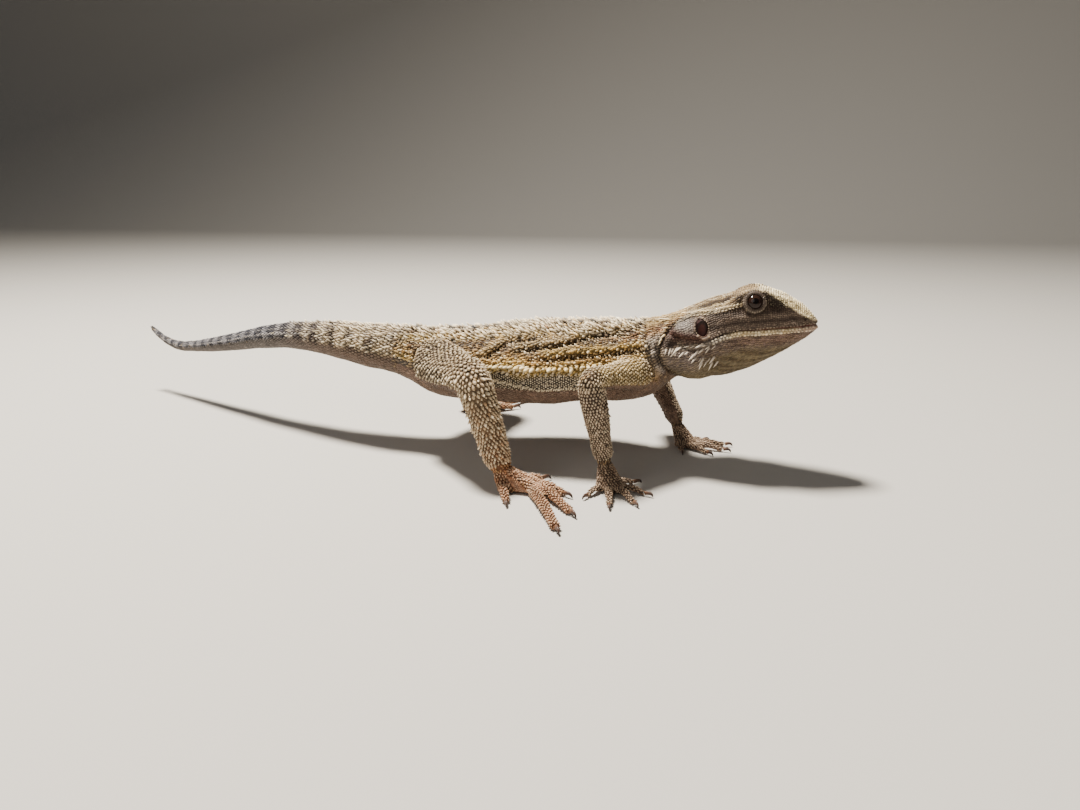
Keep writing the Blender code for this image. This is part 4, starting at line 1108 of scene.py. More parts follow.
def lay(place, out, heading, size, uv_root, form, colour=None, horn=0.65, horn_colour=WHITE, length=1.0,
        jitter=0.12, yaw=7.0, tilt=0.0, droop=0.0, seed=1, dark=0.5, tone=0.16):
    """Scales of one form, seated on the hide nearest to their places and turned to their heading, with a
    little difference in size, heading and tone. Droop turns the heading down the side, and tilt stands the
    scale up off it. The foot is pigment darkened with painted shade, and the point is paler horn, partly a
    painted highlight, less so on dark pigment."""
    rng = np.random.default_rng(seed)
    place, normal, off = settle(place)
    keep = (off < 0.9) & ((normal * out).sum(1) > 0.2)
    place, normal, out, heading, size, uv_root = (
        table[keep] for table in (place, normal, out, heading, size, uv_root))
    out = unit(out + normal)
    heading = unit(heading - (heading * out).sum(1, keepdims=True) * out)
    if droop:
        down = unit(np.array([0.0, 0.0, -1.0]) + out[:, 2:] * out)
        heading = unit(heading * np.cos(np.radians(droop)) + down * np.sin(np.radians(droop)))
    spin = np.radians(rng.normal(0, yaw, len(place)))[:, None]
    heading = unit(heading * np.cos(spin) + np.cross(out, heading) * np.sin(spin))
    if tilt:
        lean = np.radians(tilt + rng.normal(0, abs(tilt) * 0.25, len(place)))[:, None]
        heading, out = (unit(heading * np.cos(lean) + out * np.sin(lean)),
                        unit(out * np.cos(lean) - heading * np.sin(lean)))
    across = np.cross(heading, out)
    size = size * np.clip(1 + rng.normal(0, jitter, len(place)), 0.6, 1.5)
    points, faces, pale = FORMS[form]
    local = points[None] * size[:, None, None]
    made = (place[:, None] + local[..., :1] * across[:, None] + local[..., 1:2] * length * heading[:, None]
            + local[..., 2:] * out[:, None])
    base = pigment_at(place) if colour is None else all_over(np.asarray(colour, float), place)
    base = base * np.exp(rng.normal(0, tone, (len(place), 1)))
    horn = np.clip(horn + rng.normal(0, tone, (len(place), 1)), 0, 1)
    horn = horn * (0.2 + 0.8 * smooth_step(base.mean(1, keepdims=True), 0.03, 0.14))
    tip = base + (np.asarray(horn_colour) - base) * horn
    # Painted shade at each scale's foot, and a partly painted highlight towards its point.
    foot = base * dark
    shade = foot[:, None] + (tip - foot)[:, None] * pale[None, :, None]
    seated.append(place)
    return dict(points=made, faces=faces, shade=shade, uv=uv_root[:, None] + points[None, :, :2] * PATCH)


def unwrap(chart, at, turn, sheet):
    """Where on its sheet a root's patch lies: the angle round the line across, the distance along it up."""
    left, low, wide, tall = sheet
    across = left + wide * (0.03 + 0.94 * ((turn / (2 * np.pi) + 0.5) % 1.0))
    up = low + tall * (0.03 + 0.94 * at / chart["end"])
    return np.stack([across, up], axis=1)


def scales(chart, roots, form, lie=-1.0, sheet=(0.0, 0.0, 1.0, 1.0), room=0.0, **look):
    """Scales at their roots on a chart, lying back along its line, or forward where lie is 1. With room,
    those nearer than that share of their size to a scale already laid are left out."""
    at, turn, size = roots
    place, out, forward = seat(chart, at, turn)
    if room and seated:
        clear = gaps_to(place, np.vstack(seated)) > room * size
        place, out, forward, size, at, turn = (
            table[clear] for table in (place, out, forward, size, at, turn))
    return lay(place, out, forward * lie, size, unwrap(chart, at, turn, sheet), form, **look)


def coat_piece(name, fields):
    """One mesh of all the scales in several fields, with the markings and the unwrap on it."""
    points, faces, shade, uv = [], [], [], []
    start = 0
    for field in fields:
        count, corners = field["points"].shape[:2]
        if not count:
            continue
        points.append(field["points"].reshape(-1, 3))
        shade.append(field["shade"].reshape(-1, 3))
        uv.append(field["uv"].reshape(-1, 2))
        first = (start + np.arange(count) * corners)[:, None, None]
        faces.append((field["faces"][None] + first).reshape(-1, 3))
        start += count * corners
    points, faces = np.vstack(points), np.vstack(faces)
    points[:, 2] = np.maximum(points[:, 2], 0.02)
    made = surface(name, points, faces)
    paint(made, np.vstack(shade))
    layer = made.data.uv_layers.new(name="OFBake")
    layer.data.foreach_set("uv", np.vstack(uv)[faces.ravel()].astype(np.float32).ravel())
    finish(made, horn_skin)
    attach(made, "root")


def only(roots, keep):
    """The roots that are kept."""
    return tuple(column[keep] for column in roots)


# ---------------------------------------------------------------- the coat: back and flanks
# Keeled scales in rows over the back, with spiny ones among them, and smaller, looser ones down each flank.
# The lowest rows of a flank are beads.
back = lay_rows(body_chart, row_levels(station(-2.0), station(89.5), 1.30, 1.15), (-50, 50), 1.34, 11)
picked = np.random.default_rng(5).random(len(back[0]))
back_keels, back_thorns = only(back, picked >= 0.48), only(back, picked < 0.26)
back_spines = only(back, (picked >= 0.26) & (picked < 0.48))
coat_piece("back_scales", [
    scales(body_chart, back_keels, "thick_keel", horn=0.45, seed=12, yaw=14, dark=0.22, tone=0.42,
           jitter=0.18, tilt=6),
    scales(body_chart, back_thorns, "sharp_keel", horn=0.85, seed=13, tilt=20, yaw=16, dark=0.20, tone=0.35,
           jitter=0.2),
    scales(body_chart, back_spines, "spine", horn=0.95, seed=14, yaw=20, jitter=0.25, dark=0.2, tilt=10)])
flank_piece = []
for side, arc, low_arc in ((-1, (50, 93), (93, 107)), (1, (-93, -50), (-107, -93))):
    levels = row_levels(station(-2.0), station(89.0), 0.98, 0.98)
    flank = lay_rows(body_chart, levels, arc, 1.0, 20 + side, drift=0.18)
    picked = np.random.default_rng(6 + side).random(len(flank[0]))
    levels = row_levels(station(14.0), station(86.0), 0.72, 0.72)
    low = lay_rows(body_chart, levels, low_arc, 0.74, 26 + side, drift=0.1)
    flank_piece += [
        scales(body_chart, only(flank, picked < 0.66), "thick_keel", horn=0.5, horn_colour=CREAM,
               seed=22 + side, yaw=18, jitter=0.2, droop=12, tone=0.35, dark=0.4),
        scales(body_chart, only(flank, picked >= 0.66), "cone", horn=0.9, seed=24 + side, yaw=25, jitter=0.3,
               droop=15),
        scales(body_chart, low, "bead", horn=0.85, seed=28 + side, dark=0.28)]
coat_piece("flank_scales", flank_piece)

# ---------------------------------------------------------------- the coat: belly
# Small flat scales, smooth to the touch, in rows across the underside from one flank to the other.
levels = row_levels(station(0.0), station(88.0), 0.98, 0.98)
belly = lay_rows(body_chart, levels, (107, 253), 1.05, 31, drift=0.04)
belly_fields = [scales(body_chart, belly, "plate", horn=0.12, seed=32, yaw=3, dark=0.9)]
coat_piece("belly_scales", belly_fields)

# ---------------------------------------------------------------- the coat: tail
# Keeled scales in rings that shrink towards the tip, spiny on the upper side of the tail's root and plain
# beneath.
def tail_width(at, turn):
    """Scales grow from the tip of the tail to its root."""
    return np.interp(at, [0.0, 60.0, 120.0, 170.0], [0.55, 0.8, 1.05, 1.2])


tail_rows = row_levels(station(-2.5), 1.0, 1.25, 0.55)
tail_top = lay_rows(body_chart, tail_rows, (-90, 90), tail_width, 41, drift=0.06)
tail_low = lay_rows(body_chart, tail_rows, (90, 270), tail_width, 42, drift=0.03)
near_root = smooth_step(on_chart(body_chart, tail_top[0], tail_top[1])[:, 0], -62.0, -14.0)
picked = np.random.default_rng(43).random(len(tail_top[0]))
spiny, thorny = picked < 0.34 * near_root, picked > 1 - 0.22 * near_root
tail_keels = only(tail_top, ~spiny & ~thorny)
coat_piece("tail_scales", [
    scales(body_chart, tail_keels, "keel", horn=0.30, horn_colour=(0.58, 0.54, 0.51), seed=43, yaw=5,
           length=1.1, tone=0.25, dark=0.4),
    scales(body_chart, only(tail_top, spiny), "sharp_keel", horn=0.95, seed=44, yaw=14, length=1.2, tilt=16,
           dark=0.3),
    scales(body_chart, only(tail_top, thorny), "spine", horn=0.95, seed=46, yaw=18, jitter=0.25, tilt=8,
           dark=0.3),
    scales(body_chart, tail_low, "plate", horn=0.15, seed=45, yaw=3, length=1.15, dark=0.85)])

# ---------------------------------------------------------------- the coat: legs
# Rows of keeled scales that point down the limb, larger on thigh and shank, and small flat ones inside. Each
# digit has its own rows, with flat beads under it.
LEG_SHEET, PAW_SHEET = (0, 0, 0.4, 1), (0.4, 0, 0.6, 1)      # left, low, width and height on the unwrap


def leg_fields(name, pitch, seed, sheet):
    """The scales of one leg from shoulder or hip to wrist or ankle. Thorns are thick low on the thigh."""
    chart = charts[name]
    end = chart["end"]
    hind = name.startswith("hind")

    def width(at, _):
        """Width of a scale: smaller towards the wrist or the ankle."""
        return pitch * np.interp(at / end, [0.0, 0.5, 1.0], [0.95, 1.0, 0.72] if hind else [0.95, 0.92, 0.66])

    levels = row_levels(1.0, end - 0.5, pitch * 0.86, pitch * 0.62)
    outer = lay_rows(chart, levels, (-118, 118), width, seed, drift=0.06)
    levels = row_levels(1.0, end - 0.5, 0.85, 0.8)
    inner = lay_rows(chart, levels, (118, 242), 0.9, seed + 1, drift=0.05)
    place = on_chart(chart, outer[0], outer[1])
    share = outer[0] / end
    low_thigh = (hind * smooth_step(share, 0.08, 0.2) * smooth_step(0.62 - share, 0.0, 0.15)
                 * smooth_step(34.5 - place[:, 2], 0.0, 1.5))
    picked = np.random.default_rng(seed).random(len(outer[0]))
    thorny = picked < np.maximum(0.28 if hind else 0.10, 0.9 * low_thigh)
    beaded = ~thorny & (share > 0.55) & (not hind)
    return [
        scales(chart, only(outer, ~thorny & ~beaded), "thick_keel", lie=1.0, horn=0.95,
               horn_colour=(0.88, 0.72, 0.49), seed=seed + 2, sheet=sheet, room=0.4,
               dark=0.28 if hind else 0.34, tone=0.28, yaw=12, jitter=0.16),
        scales(chart, only(outer, thorny), "thorn", lie=1.0, horn=0.95, seed=seed + 3, sheet=sheet, room=0.4,
               jitter=0.2, yaw=12, dark=0.3),
        scales(chart, only(outer, beaded), "bead", lie=1.0, horn=0.9, horn_colour=(0.74, 0.60, 0.43),
               seed=seed + 5, sheet=sheet, length=1.25, dark=0.5),
        scales(chart, inner, "plate", lie=1.0, horn=0.12, seed=seed + 4, dark=0.85, sheet=sheet, room=0.4)]


def paw_fields(name, seed, sheet):
    """The scales of one hand or foot, digit by digit, each with its own fifth of the sheet."""
    fields = []
    pitch = 0.95 if name.startswith("hind") else 0.85
    left, low, wide, tall = sheet
    for k in range(1, 6):
        chart = charts[f"{name}_{k}"]
        end = chart["end"] - 0.6
        digit_seed = seed + 10 * k
        levels = row_levels(0.6, end, pitch * 0.85, pitch * 0.85)
        top = lay_rows(chart, levels, (-100, 100), pitch, digit_seed, drift=0.04)
        under = lay_rows(chart, row_levels(0.6, end, 0.7, 0.7), (100, 260), 0.75, digit_seed + 1, drift=0.04)
        tile = (left + wide * (0.02 + 0.196 * (k - 1)), low, wide * 0.19, tall)
        fields += [
            scales(chart, top, "thick_keel", lie=1.0, horn=0.60, horn_colour=(0.86, 0.66, 0.46),
                   seed=digit_seed + 2, sheet=tile, room=0.4),
            scales(chart, under, "flat_bead", lie=1.0, horn=0.3, seed=digit_seed + 3, sheet=tile, dark=0.8,
                   room=0.4)]
    return fields


for side, more in (("R", 0), ("L", 100)):
    for piece, leg, pitch, seed in (("fore", "front", 1.12, 100 + more), ("hind", "hind", 1.5, 300 + more)):
        fields = leg_fields(f"{leg}_{side}", pitch, seed, LEG_SHEET)
        fields += paw_fields(f"{leg}_{side}", seed + 10, PAW_SHEET)
        coat_piece(f"{piece}_leg_scales_{side}", fields)

# ---------------------------------------------------------------- the coat: head
# Small scales fitted to the face, a row of plates along each lip, beads round the eyes and ears, and larger
# keeled scales on the crown.
def off_openings(place, eye_gap, ear_gap=1.08):
    """False at the eyes, the ears, the nostrils and the slit of the mouth."""
    x = place[:, 0]
    slit = np.abs(to_line(x, place[:, 2], MOUTH)[0]) < 0.28
    keep = ~slit | (x < 104) | (np.abs(place[:, 1] - midline(x)) < 2)
    for letter in SIDES:
        centre, _, axes = eye_frame(letter)
        local = (place - centre) @ axes.T
        keep &= (np.hypot(local[:, 0], local[:, 1]) > eye_gap) | (local[:, 2] < -1)
        other_side = np.abs(place[:, 1] - EAR_MIDDLE[letter][1]) > 5
        keep &= other_side | (ear_oval(place, letter) > ear_gap)
        keep &= np.linalg.norm(place - NOSTRIL[letter], axis=1) > 0.65
    return keep


def head_width(at, turn):
    """Scales shrink from the back of the head to the snout."""
    return np.interp(at, [station(90.0), station(112.0), station(138.0)], [0.88, 0.68, 0.54])


levels = row_levels(station(89.5), station(138.2), 0.84, 0.52)
roots = lay_rows(body_chart, levels, (-180, 180), head_width, 51, drift=0.08)
place = on_chart(body_chart, roots[0], roots[1])
mouth_gap, _ = to_line(place[:, 0], place[:, 2], MOUTH)
degrees = np.degrees(np.abs(roots[1]))
lips = (np.abs(mouth_gap + 0.45) < 1.45) & (place[:, 0] > 106) & (degrees > 55)
keep = (off_openings(place, 4.1, 1.25) | (off_openings(place, 3.2, 1.25) & (degrees < 56))) & ~lips
above = (mouth_gap > 0) & (degrees < 110)
crown = keep & above & (degrees < 48)
cheek = keep & above & ~crown
off = np.abs(place[:, 1] - midline(place[:, 0]))
ridge = crown & (place[:, 0] < 113) & ((np.abs(off - 2.9) < 0.5) | (np.abs(off - 8.4) < 0.5))
jaw = keep & ~above
snout = crown & (place[:, 0] + 2.2 * mottle(place, 1.6, 20) > 120.5)
head_piece = [
    scales(body_chart, only(roots, crown & ~ridge & ~snout), "keel", horn=0.42, horn_colour=CREAM, seed=52,
           dark=0.4, length=1.2, tone=0.25, yaw=12),
    scales(body_chart, only(roots, ridge), "spine", horn=0.60, seed=57, dark=0.4, jitter=0.2, yaw=10),
    scales(body_chart, only(roots, snout), "thick_keel", horn=0.55, horn_colour=(0.96, 0.82, 0.52), seed=56,
           dark=0.4, yaw=18, tone=0.35, jitter=0.2),
    scales(body_chart, only(roots, cheek), "flat_bead", horn=0.10, seed=53, dark=0.75, length=1.3, tone=0.12),
    scales(body_chart, only(roots, jaw), "low_keel", horn=0.22, horn_colour=CREAM, seed=54, dark=0.7,
           length=1.25, tone=0.14)]


def drawn_row(drawn, side, spacing, size, form, seed, offset=0.0, **look):
    """One row of scales along a line drawn on the animal's side, a little unevenly spaced."""
    at, turn = along_drawn(drawn, side, spacing, offset)
    rng = np.random.default_rng(seed)
    sizes = size * np.clip(1 + rng.normal(0, 0.12, len(at)), 0.6, 1.4)
    roots = (at + rng.normal(0, 0.08, len(at)) * spacing, turn, sizes)
    return scales(body_chart, roots, form, seed=seed, **look)


LIPS = [(137.6, 49.7), *MOUTH[1:7], (106.5, 45.2)]
LIP_ROWS = [                               # spacing, size, seed, how far above the slit, then the row's look
    (1.00, 0.78, 71, 0.58, dict(horn=0.15, length=1.3, dark=0.7)),
    (1.02, 0.94, 72, -0.62, dict(horn=0.75, length=1.12, dark=0.6)),
    (1.08, 0.84, 73, -1.35, dict(horn=0.60, length=1.28, dark=0.6))]
for side in SIDES.values():
    for spacing, size, seed, above_slit, look in LIP_ROWS:
        head_piece.append(drawn_row(LIPS, side, spacing, size, "lip", seed, offset=above_slit, yaw=3,
                                    jitter=0.06, **look))


def eye_ring(letter, reach, count, size, form, seed, arc=(0.0, 360.0), **look):
    """Scales in a ring round an eye, pointing away from it."""
    centre, radius, axes = eye_frame(letter)
    turn = np.radians(arc[0] + (arc[1] - arc[0]) * (np.arange(count) + 0.5) / count)
    height = lid_height(radius, np.full(count, min(reach, LID_RING)))
    local = np.stack([reach * np.cos(turn), reach * np.sin(turn) / LID_SQUASH, height], axis=1)
    way = np.stack([np.cos(turn), np.sin(turn), np.zeros(count)], axis=1)
    uv = np.stack([0.5 + 0.02 * local[:, 0], 0.9 + 0.02 * local[:, 1]], axis=1)
    out = np.tile(axes[2], (count, 1))
    return lay(centre + local @ axes, out, way @ axes, np.full(count, size), uv, form, seed=seed, **look)


def ear_ring(letter, oval, count, size, seed, **look):
    """Beads in an oval round an ear, pointing away from it."""
    turn = np.linspace(0, 2 * np.pi, count, endpoint=False)
    z = oval * EAR_HALF[1] * np.sin(turn)
    x = oval * EAR_HALF[0] * np.cos(turn) - EAR_LEAN * z
    place = EAR_MIDDLE[letter] + np.stack([x, np.full(count, SIDES[letter] * 0.4), z], axis=1)
    way = np.stack([np.cos(turn), np.zeros(count), np.sin(turn)], axis=1)
    uv = np.stack([0.3 + 0.02 * np.cos(turn), 0.7 + 0.02 * np.sin(turn)], axis=1)
    out = np.tile([0.0, SIDES[letter], 0.0], (count, 1))
    return lay(place, out, way, np.full(count, size), uv, "bead", seed=seed, **look)


for letter in SIDES:
    head_piece += [
        eye_ring(letter, 2.58, 30, 0.44, "flat_bead", 81, horn=0.08, dark=0.6, yaw=4),
        eye_ring(letter, 3.03, 30, 0.56, "flat_bead", 82, horn=0.10, dark=0.6, yaw=4),
        eye_ring(letter, 3.60, 30, 0.62, "flat_bead", 83, horn=0.12, dark=0.6, yaw=4, jitter=0.2),
        eye_ring(letter, 4.25, 11, 1.0, "low_keel", 84, arc=(25, 155), horn=0.5, dark=0.5, yaw=6),
        ear_ring(letter, 1.18, 26, 0.55, 85, horn=0.15, dark=0.6)]
coat_piece("head_scales", head_piece)

# ---------------------------------------------------------------- the coat: spines
# Horny spines in rows: the fringe along each flank, the row over each ear, the shoulder, and slender ones in
# combs on the beard and the nape. A comb is given by its first and last foot, its first and last tip measured
# from the foot, and how many spines it has.
BEARD_COMBS = [
    ((92.7, 41.3), (97.6, 42.0), (-0.6, -1.8), (-1.6, -2.8), 5),
    ((95.2, 40.5), (99.5, 40.8), (-0.8, -1.6), (-1.4, -2.1), 4),
    ((99.8, 42.6), (108.0, 43.5), (-1.6, -0.5), (-1.4, -1.0), 5),
    ((101.2, 40.7), (106.6, 42.8), (-2.1, -1.9), (-1.4, -2.2), 4),
    ((101.8, 39.0), (107.7, 39.6), (-1.8, -1.8), (-1.3, -1.7), 5),
    ((103.8, 38.3), (109.1, 37.5), (-1.4, -2.2), (-1.1, -1.5), 4)]
NAPE_COMBS = [((93.2, 49.4), (90.7, 43.2), (-2.6, -0.9), (-1.9, -1.3), 7)]
SHOULDER_ROW = [(73.6, 38.4), (76.1, 38.3), (78.8, 38.2), (81.5, 38.6), (84.6, 40.0), (86.5, 41.6)]


def combs(table, side, seed, sheet, **look):
    """Slender spines in combs that are drawn on the animal's side. In each, foot and tip change evenly from
    the first spine to the last, a little unevenly spaced."""
    feet, tips = [], []
    rng = np.random.default_rng(seed)
    for first_foot, last_foot, first_tip, last_tip, count in table:
        share = np.linspace(0, 1, count)[:, None]
        foot = np.array(first_foot) * (1 - share) + np.array(last_foot) * share
        foot = foot + rng.normal(0, 0.22, (count, 2))
        tip = np.array(first_tip) * (1 - share) + np.array(last_tip) * share
        feet.append(foot)
        tips.append(foot + tip * rng.normal(1, 0.14, (count, 1)))
    at, turn = along_drawn(np.vstack(feet), side, None)
    place, out, _ = seat(body_chart, at, turn)
    heading = on_chart(body_chart, *along_drawn(np.vstack(tips), side, None)) - place
    size = np.linalg.norm(heading, axis=1) / NEEDLE_REACH
    return lay(place, out, heading, size, unwrap(body_chart, at, turn, sheet), "needle", seed=seed, **look)


SPINE_ROWS = [                             # the row, its spacing, size, form and seed, then the row's look
    (FRINGE, 1.80, 1.80, "spine", 61,
     dict(horn=0.9, horn_colour=(0.78, 0.68, 0.46), colour=STRAW, tilt=24, yaw=16, droop=42)),
    (FRINGE, 1.75, 1.30, "spine", 62,
     dict(offset=1.7, horn=0.8, horn_colour=CREAM, colour=GOLD, tilt=20, yaw=16, droop=25)),
    (FRINGE, 1.9, 1.05, "thorn", 63, dict(offset=-1.6, horn=0.9, colour=ASH, tilt=20, yaw=16, droop=40)),
    (BELLY_ROW, 0.80, 0.85, "thorn", 64, dict(horn=0.95, colour=WHITE, tilt=14, droop=20)),
    (CROWN_ROW, 1.0, 0.72, "spine", 65, dict(horn=0.9, colour=CREAM, length=1.3)),
    (CROWN_ROW, 1.1, 0.60, "spine", 68, dict(offset=-0.9, horn=0.8, colour=TAN, length=1.3)),
    (SHOULDER_ROW, 1.25, 0.95, "spine", 69, dict(horn=0.95, colour=CREAM, tilt=10, yaw=25, droop=-25)),
    (SHOULDER_ROW, 1.5, 0.75, "spine", 70,
     dict(offset=1.3, horn=0.9, colour=TAN, tilt=10, yaw=25, droop=-15))]
spine_fields = []
for side, half in ((-1, (0.0, 0, 0.5, 1)), (1, (0.5, 0, 0.5, 1))):
    for drawn, spacing, size, form, seed, look in SPINE_ROWS:
        spine_fields.append(drawn_row(drawn, side, spacing, size, form, seed, sheet=half, **look))
    spine_fields += [
        combs(BEARD_COMBS, side, 74, half, horn=0.95, horn_colour=(0.80, 0.70, 0.58),
              colour=(0.33, 0.27, 0.22), yaw=5, dark=0.6),
        combs(NAPE_COMBS, side, 75, half, horn=0.95, horn_colour=WHITE, colour=CREAM, yaw=6, tilt=6,
              dark=0.6)]
coat_piece("spines", spine_fields)

# ---------------------------------------------------------------- the coat: scales between the rows
# Loose small scales in the folds, at the shoulders and hips, round wrists and ankles and behind the beard,
# wherever the rows leave the hide bare.
SOFT_TURN = 118                            # degrees round a leg beyond which its scales are small
WRIST_REACH = 4.0                          # mm short of the wrist or ankle where they are small all round
x = hide_places[:, 0]
kinds = np.array([kind_of(name) for name in line_names])[hide_owner]
wanted = np.select(
    [kinds == "digit", kinds == "front", kinds == "hind", x > 124, x > 104, x > 84],
    [0.62, np.where(hide_degrees < SOFT_TURN, 0.80, 0.66), np.where(hide_degrees < SOFT_TURN, 1.0, 0.72),
     0.50, 0.60, 0.70], 0.86)
on_tail = (kinds == "body") & (x < 0)
wanted = np.where(on_tail, np.interp(x, [-146.0, -60.0, 0.0], [0.50, 0.75, 0.95]), wanted)
left = np.array([lines[name]["length"] for name in line_names])[hide_owner] - hide_at
by_wrist = ((kinds == "front") | (kinds == "hind")) & (left < WRIST_REACH)
wanted = np.where(by_wrist, 0.66, wanted)
wanted = np.where(off_openings(hide_places, 2.9) & (hide_places[:, 2] > 0.3), wanted, 0.0)
bare = np.flatnonzero((wanted > 0) & (gaps_to(hide_places, np.vstack(seated)) > wanted))
bare = np.random.default_rng(91).permutation(bare)
tree = KDTree(len(bare))
for k, point in enumerate(hide_places[bare].tolist()):
    tree.insert(point, k)
tree.balance()
chosen, passed = np.zeros(len(bare), bool), np.zeros(len(bare), bool)
for k, point in enumerate(hide_places[bare].tolist()):
    if not passed[k]:
        chosen[k] = True
        passed[[index for _, index, _ in tree.find_range(point, wanted[bare[k]] * 1.05)]] = True
bare = bare[chosen]
heading, root_uv = np.zeros((len(bare), 3)), np.zeros((len(bare), 2))
for k, name in enumerate(line_names):
    mine = hide_owner[bare] == k
    line = lines[name]
    at, turn = hide_at[bare][mine], hide_turn[bare][mine]
    index = np.clip(at / line["step"], 0, len(line["middle"]) - 1.0)
    heading[mine] = at_station(line["ahead"], index) * (-1.0 if name == "body" else 1.0)
    root_uv[mine] = unwrap(charts[name], at, turn, (0, 0, 1, 1))
bare_piece = []
smooth_place = (hide_degrees[bare] > 108) | ((kinds[bare] == "body") & (x[bare] > 86))
for smooth, form, horn, seed in ((False, "keel", 0.6, 92), (True, "flat_bead", 0.3, 93)):
    mine = smooth_place == smooth
    roots = bare[mine]
    bare_piece.append(lay(hide_places[roots], hide_outward[roots], heading[mine], wanted[roots] * 1.2,
                          root_uv[mine], form, horn=horn, horn_colour=CREAM, seed=seed, yaw=20, jitter=0.2,
                          dark=0.55))
coat_piece("small_scales", bare_piece)

# ---------------------------------------------------------------- the eyes
# Glossy balls under a clear, slightly bulging cornea, which the lids hold: a round dark pupil in a very dark
# brown iris.
eye_look = bpy.data.materials.new("eye_gloss")
eye_look.use_nodes = True
eye_shader = eye_look.node_tree.nodes["Principled BSDF"]
eye_paint = eye_look.node_tree.nodes.new("ShaderNodeAttribute")
eye_paint.attribute_name = "markings"
eye_look.node_tree.links.new(eye_paint.outputs["Color"], eye_shader.inputs["Base Color"])
for socket, value in (("Roughness", 0.08), ("Specular IOR Level", 0.16), ("Coat Weight", 0.10),
                      ("Coat Roughness", 0.02)):
    eye_shader.inputs[socket].default_value = value


def eye_ball(letter):
    """A ball whose front swells into a cornea: radius plus a smooth rise about the gaze."""
    centre, radius, axes = eye_frame(letter)
    arc = np.linspace(-np.pi / 2, np.pi / 2, 61)
    swell = radius * (0.985 + 0.035 * smooth_step(np.sin(arc), 0.62, 0.95))
    profile = np.stack([np.cos(arc) * swell, np.sin(arc) * swell], axis=1)
    profile[[0, -1], 0] = 0.0
    points, faces = turned(profile, 64)
    made = surface(f"eyeball_{letter}", centre + points @ axes, faces)
    reach, around = np.hypot(points[:, 0], points[:, 1]), np.arctan2(points[:, 1], points[:, 0])
    spoke = 0.5 + 0.5 * np.sin(23 * around + 3 * np.sin(5 * around))
    front = points[:, 2] > 0
    iris = smooth_step(reach, 0.98, 1.08) * smooth_step(-reach, -2.25, -1.95) * front
    colour = all_over((0.020, 0.012, 0.009), points)
    colour = blend(colour, (0.015, 0.0065, 0.0045), iris * (0.55 + 0.45 * spoke))
    colour = blend(colour, (0.045, 0.022, 0.012), 0.6 * bump(reach - 1.12, 0.07) * front)
    colour = blend(colour, (0.003, 0.002, 0.002), smooth_step(-reach, -1.06, -1.0) * front)
    paint(made, colour)
    finish(made, eye_look)
    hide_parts(f"eye_{letter}")
    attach(made, "root")


for letter in SIDES:
    eye_ball(letter)

# ---------------------------------------------------------------- the ear drums
# A thin, dark, dished membrane stretched across each ear opening, just inside its rim.
def ear_drum(letter):
    """An oval dish closed behind: rings whose depth is one minus the square of their share of the radius."""
    side = SIDES[letter]
    low, high = node_box(f"ear_{letter}")
    middle, half = (low + high) / 2, (high - low) / 2
    share = np.array([1.0, 0.97, 0.85, 0.65, 0.4, 0.2, 0.0])
    profile = [(0.0, -0.9), (0.98, -0.9)] + [(s, -0.05 - 0.45 * (1 - s * s)) for s in share]
    points, faces = turned(profile, 40)
    x = points[:, 0] * half[0] * 0.93
    z = points[:, 1] * half[2] * 0.98
    depth = half[1] - 0.40 + points[:, 2]
    placed = middle + np.stack([x, side * depth, z], axis=1)
    made = surface(f"ear_drum_{letter}", placed, faces if side < 0 else faces[:, ::-1])
    shadow = smooth_step(np.hypot(points[:, 0], points[:, 1]) + 0.35 * points[:, 1], 0.45, 0.95)
    paint(made, blend(all_over((0.045, 0.011, 0.008), points), (0.012, 0.004, 0.003), shadow))
    finish(made, drum_skin)
    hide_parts(f"ear_{letter}")
    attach(made, "root")


drum_skin = skin_material("ear_membrane", 0.3, 0.3, 0.45, 0.03)
for letter in SIDES:
    ear_drum(letter)

# ---------------------------------------------------------------- the claws
# A curved, dark horn cone on each of the twenty digits, rooted inside the flesh of its tip.
def claw_shape(name):
    """Rings square to a path that rises a little from the digit and bends down to the point: a quadratic
    curve whose width falls as the square root of what is left of it, deeper than it is wide."""
    line = lines[name]
    length, radius = CLAWS[name.split("_")[0]]
    root, ahead = line["middle"][-1].copy(), line["ahead"][-1] * [1, 1, 0]
    ahead = unit(ahead)
    start = root - ahead * 0.9
    start[2] = root[2] + 0.15
    over = start + ahead * (0.9 + length * 0.5) + [0, 0, 0.75]
    point = root + ahead * (length - 1.3)
    point[2] = 0.30
    t = np.linspace(0, 1, 15)[:, None]
    path = (1 - t)**2 * start + 2 * t * (1 - t) * over + t**2 * point
    way = unit(np.gradient(path, axis=0))
    aside = unit(np.cross(way, [0.0, 0.0, 1.0]))
    upper = np.cross(aside, way)
    width = radius * np.sqrt(np.clip(1 - t * 0.985, 0, 1))
    angle = np.linspace(0, 2 * np.pi, 12, endpoint=False)
    rings = (path[:, None] + aside[:, None] * (width * 0.72)[:, None] * np.cos(angle)[None, :, None]
             + upper[:, None] * width[:, None] * np.sin(angle)[None, :, None])
    return rings, t


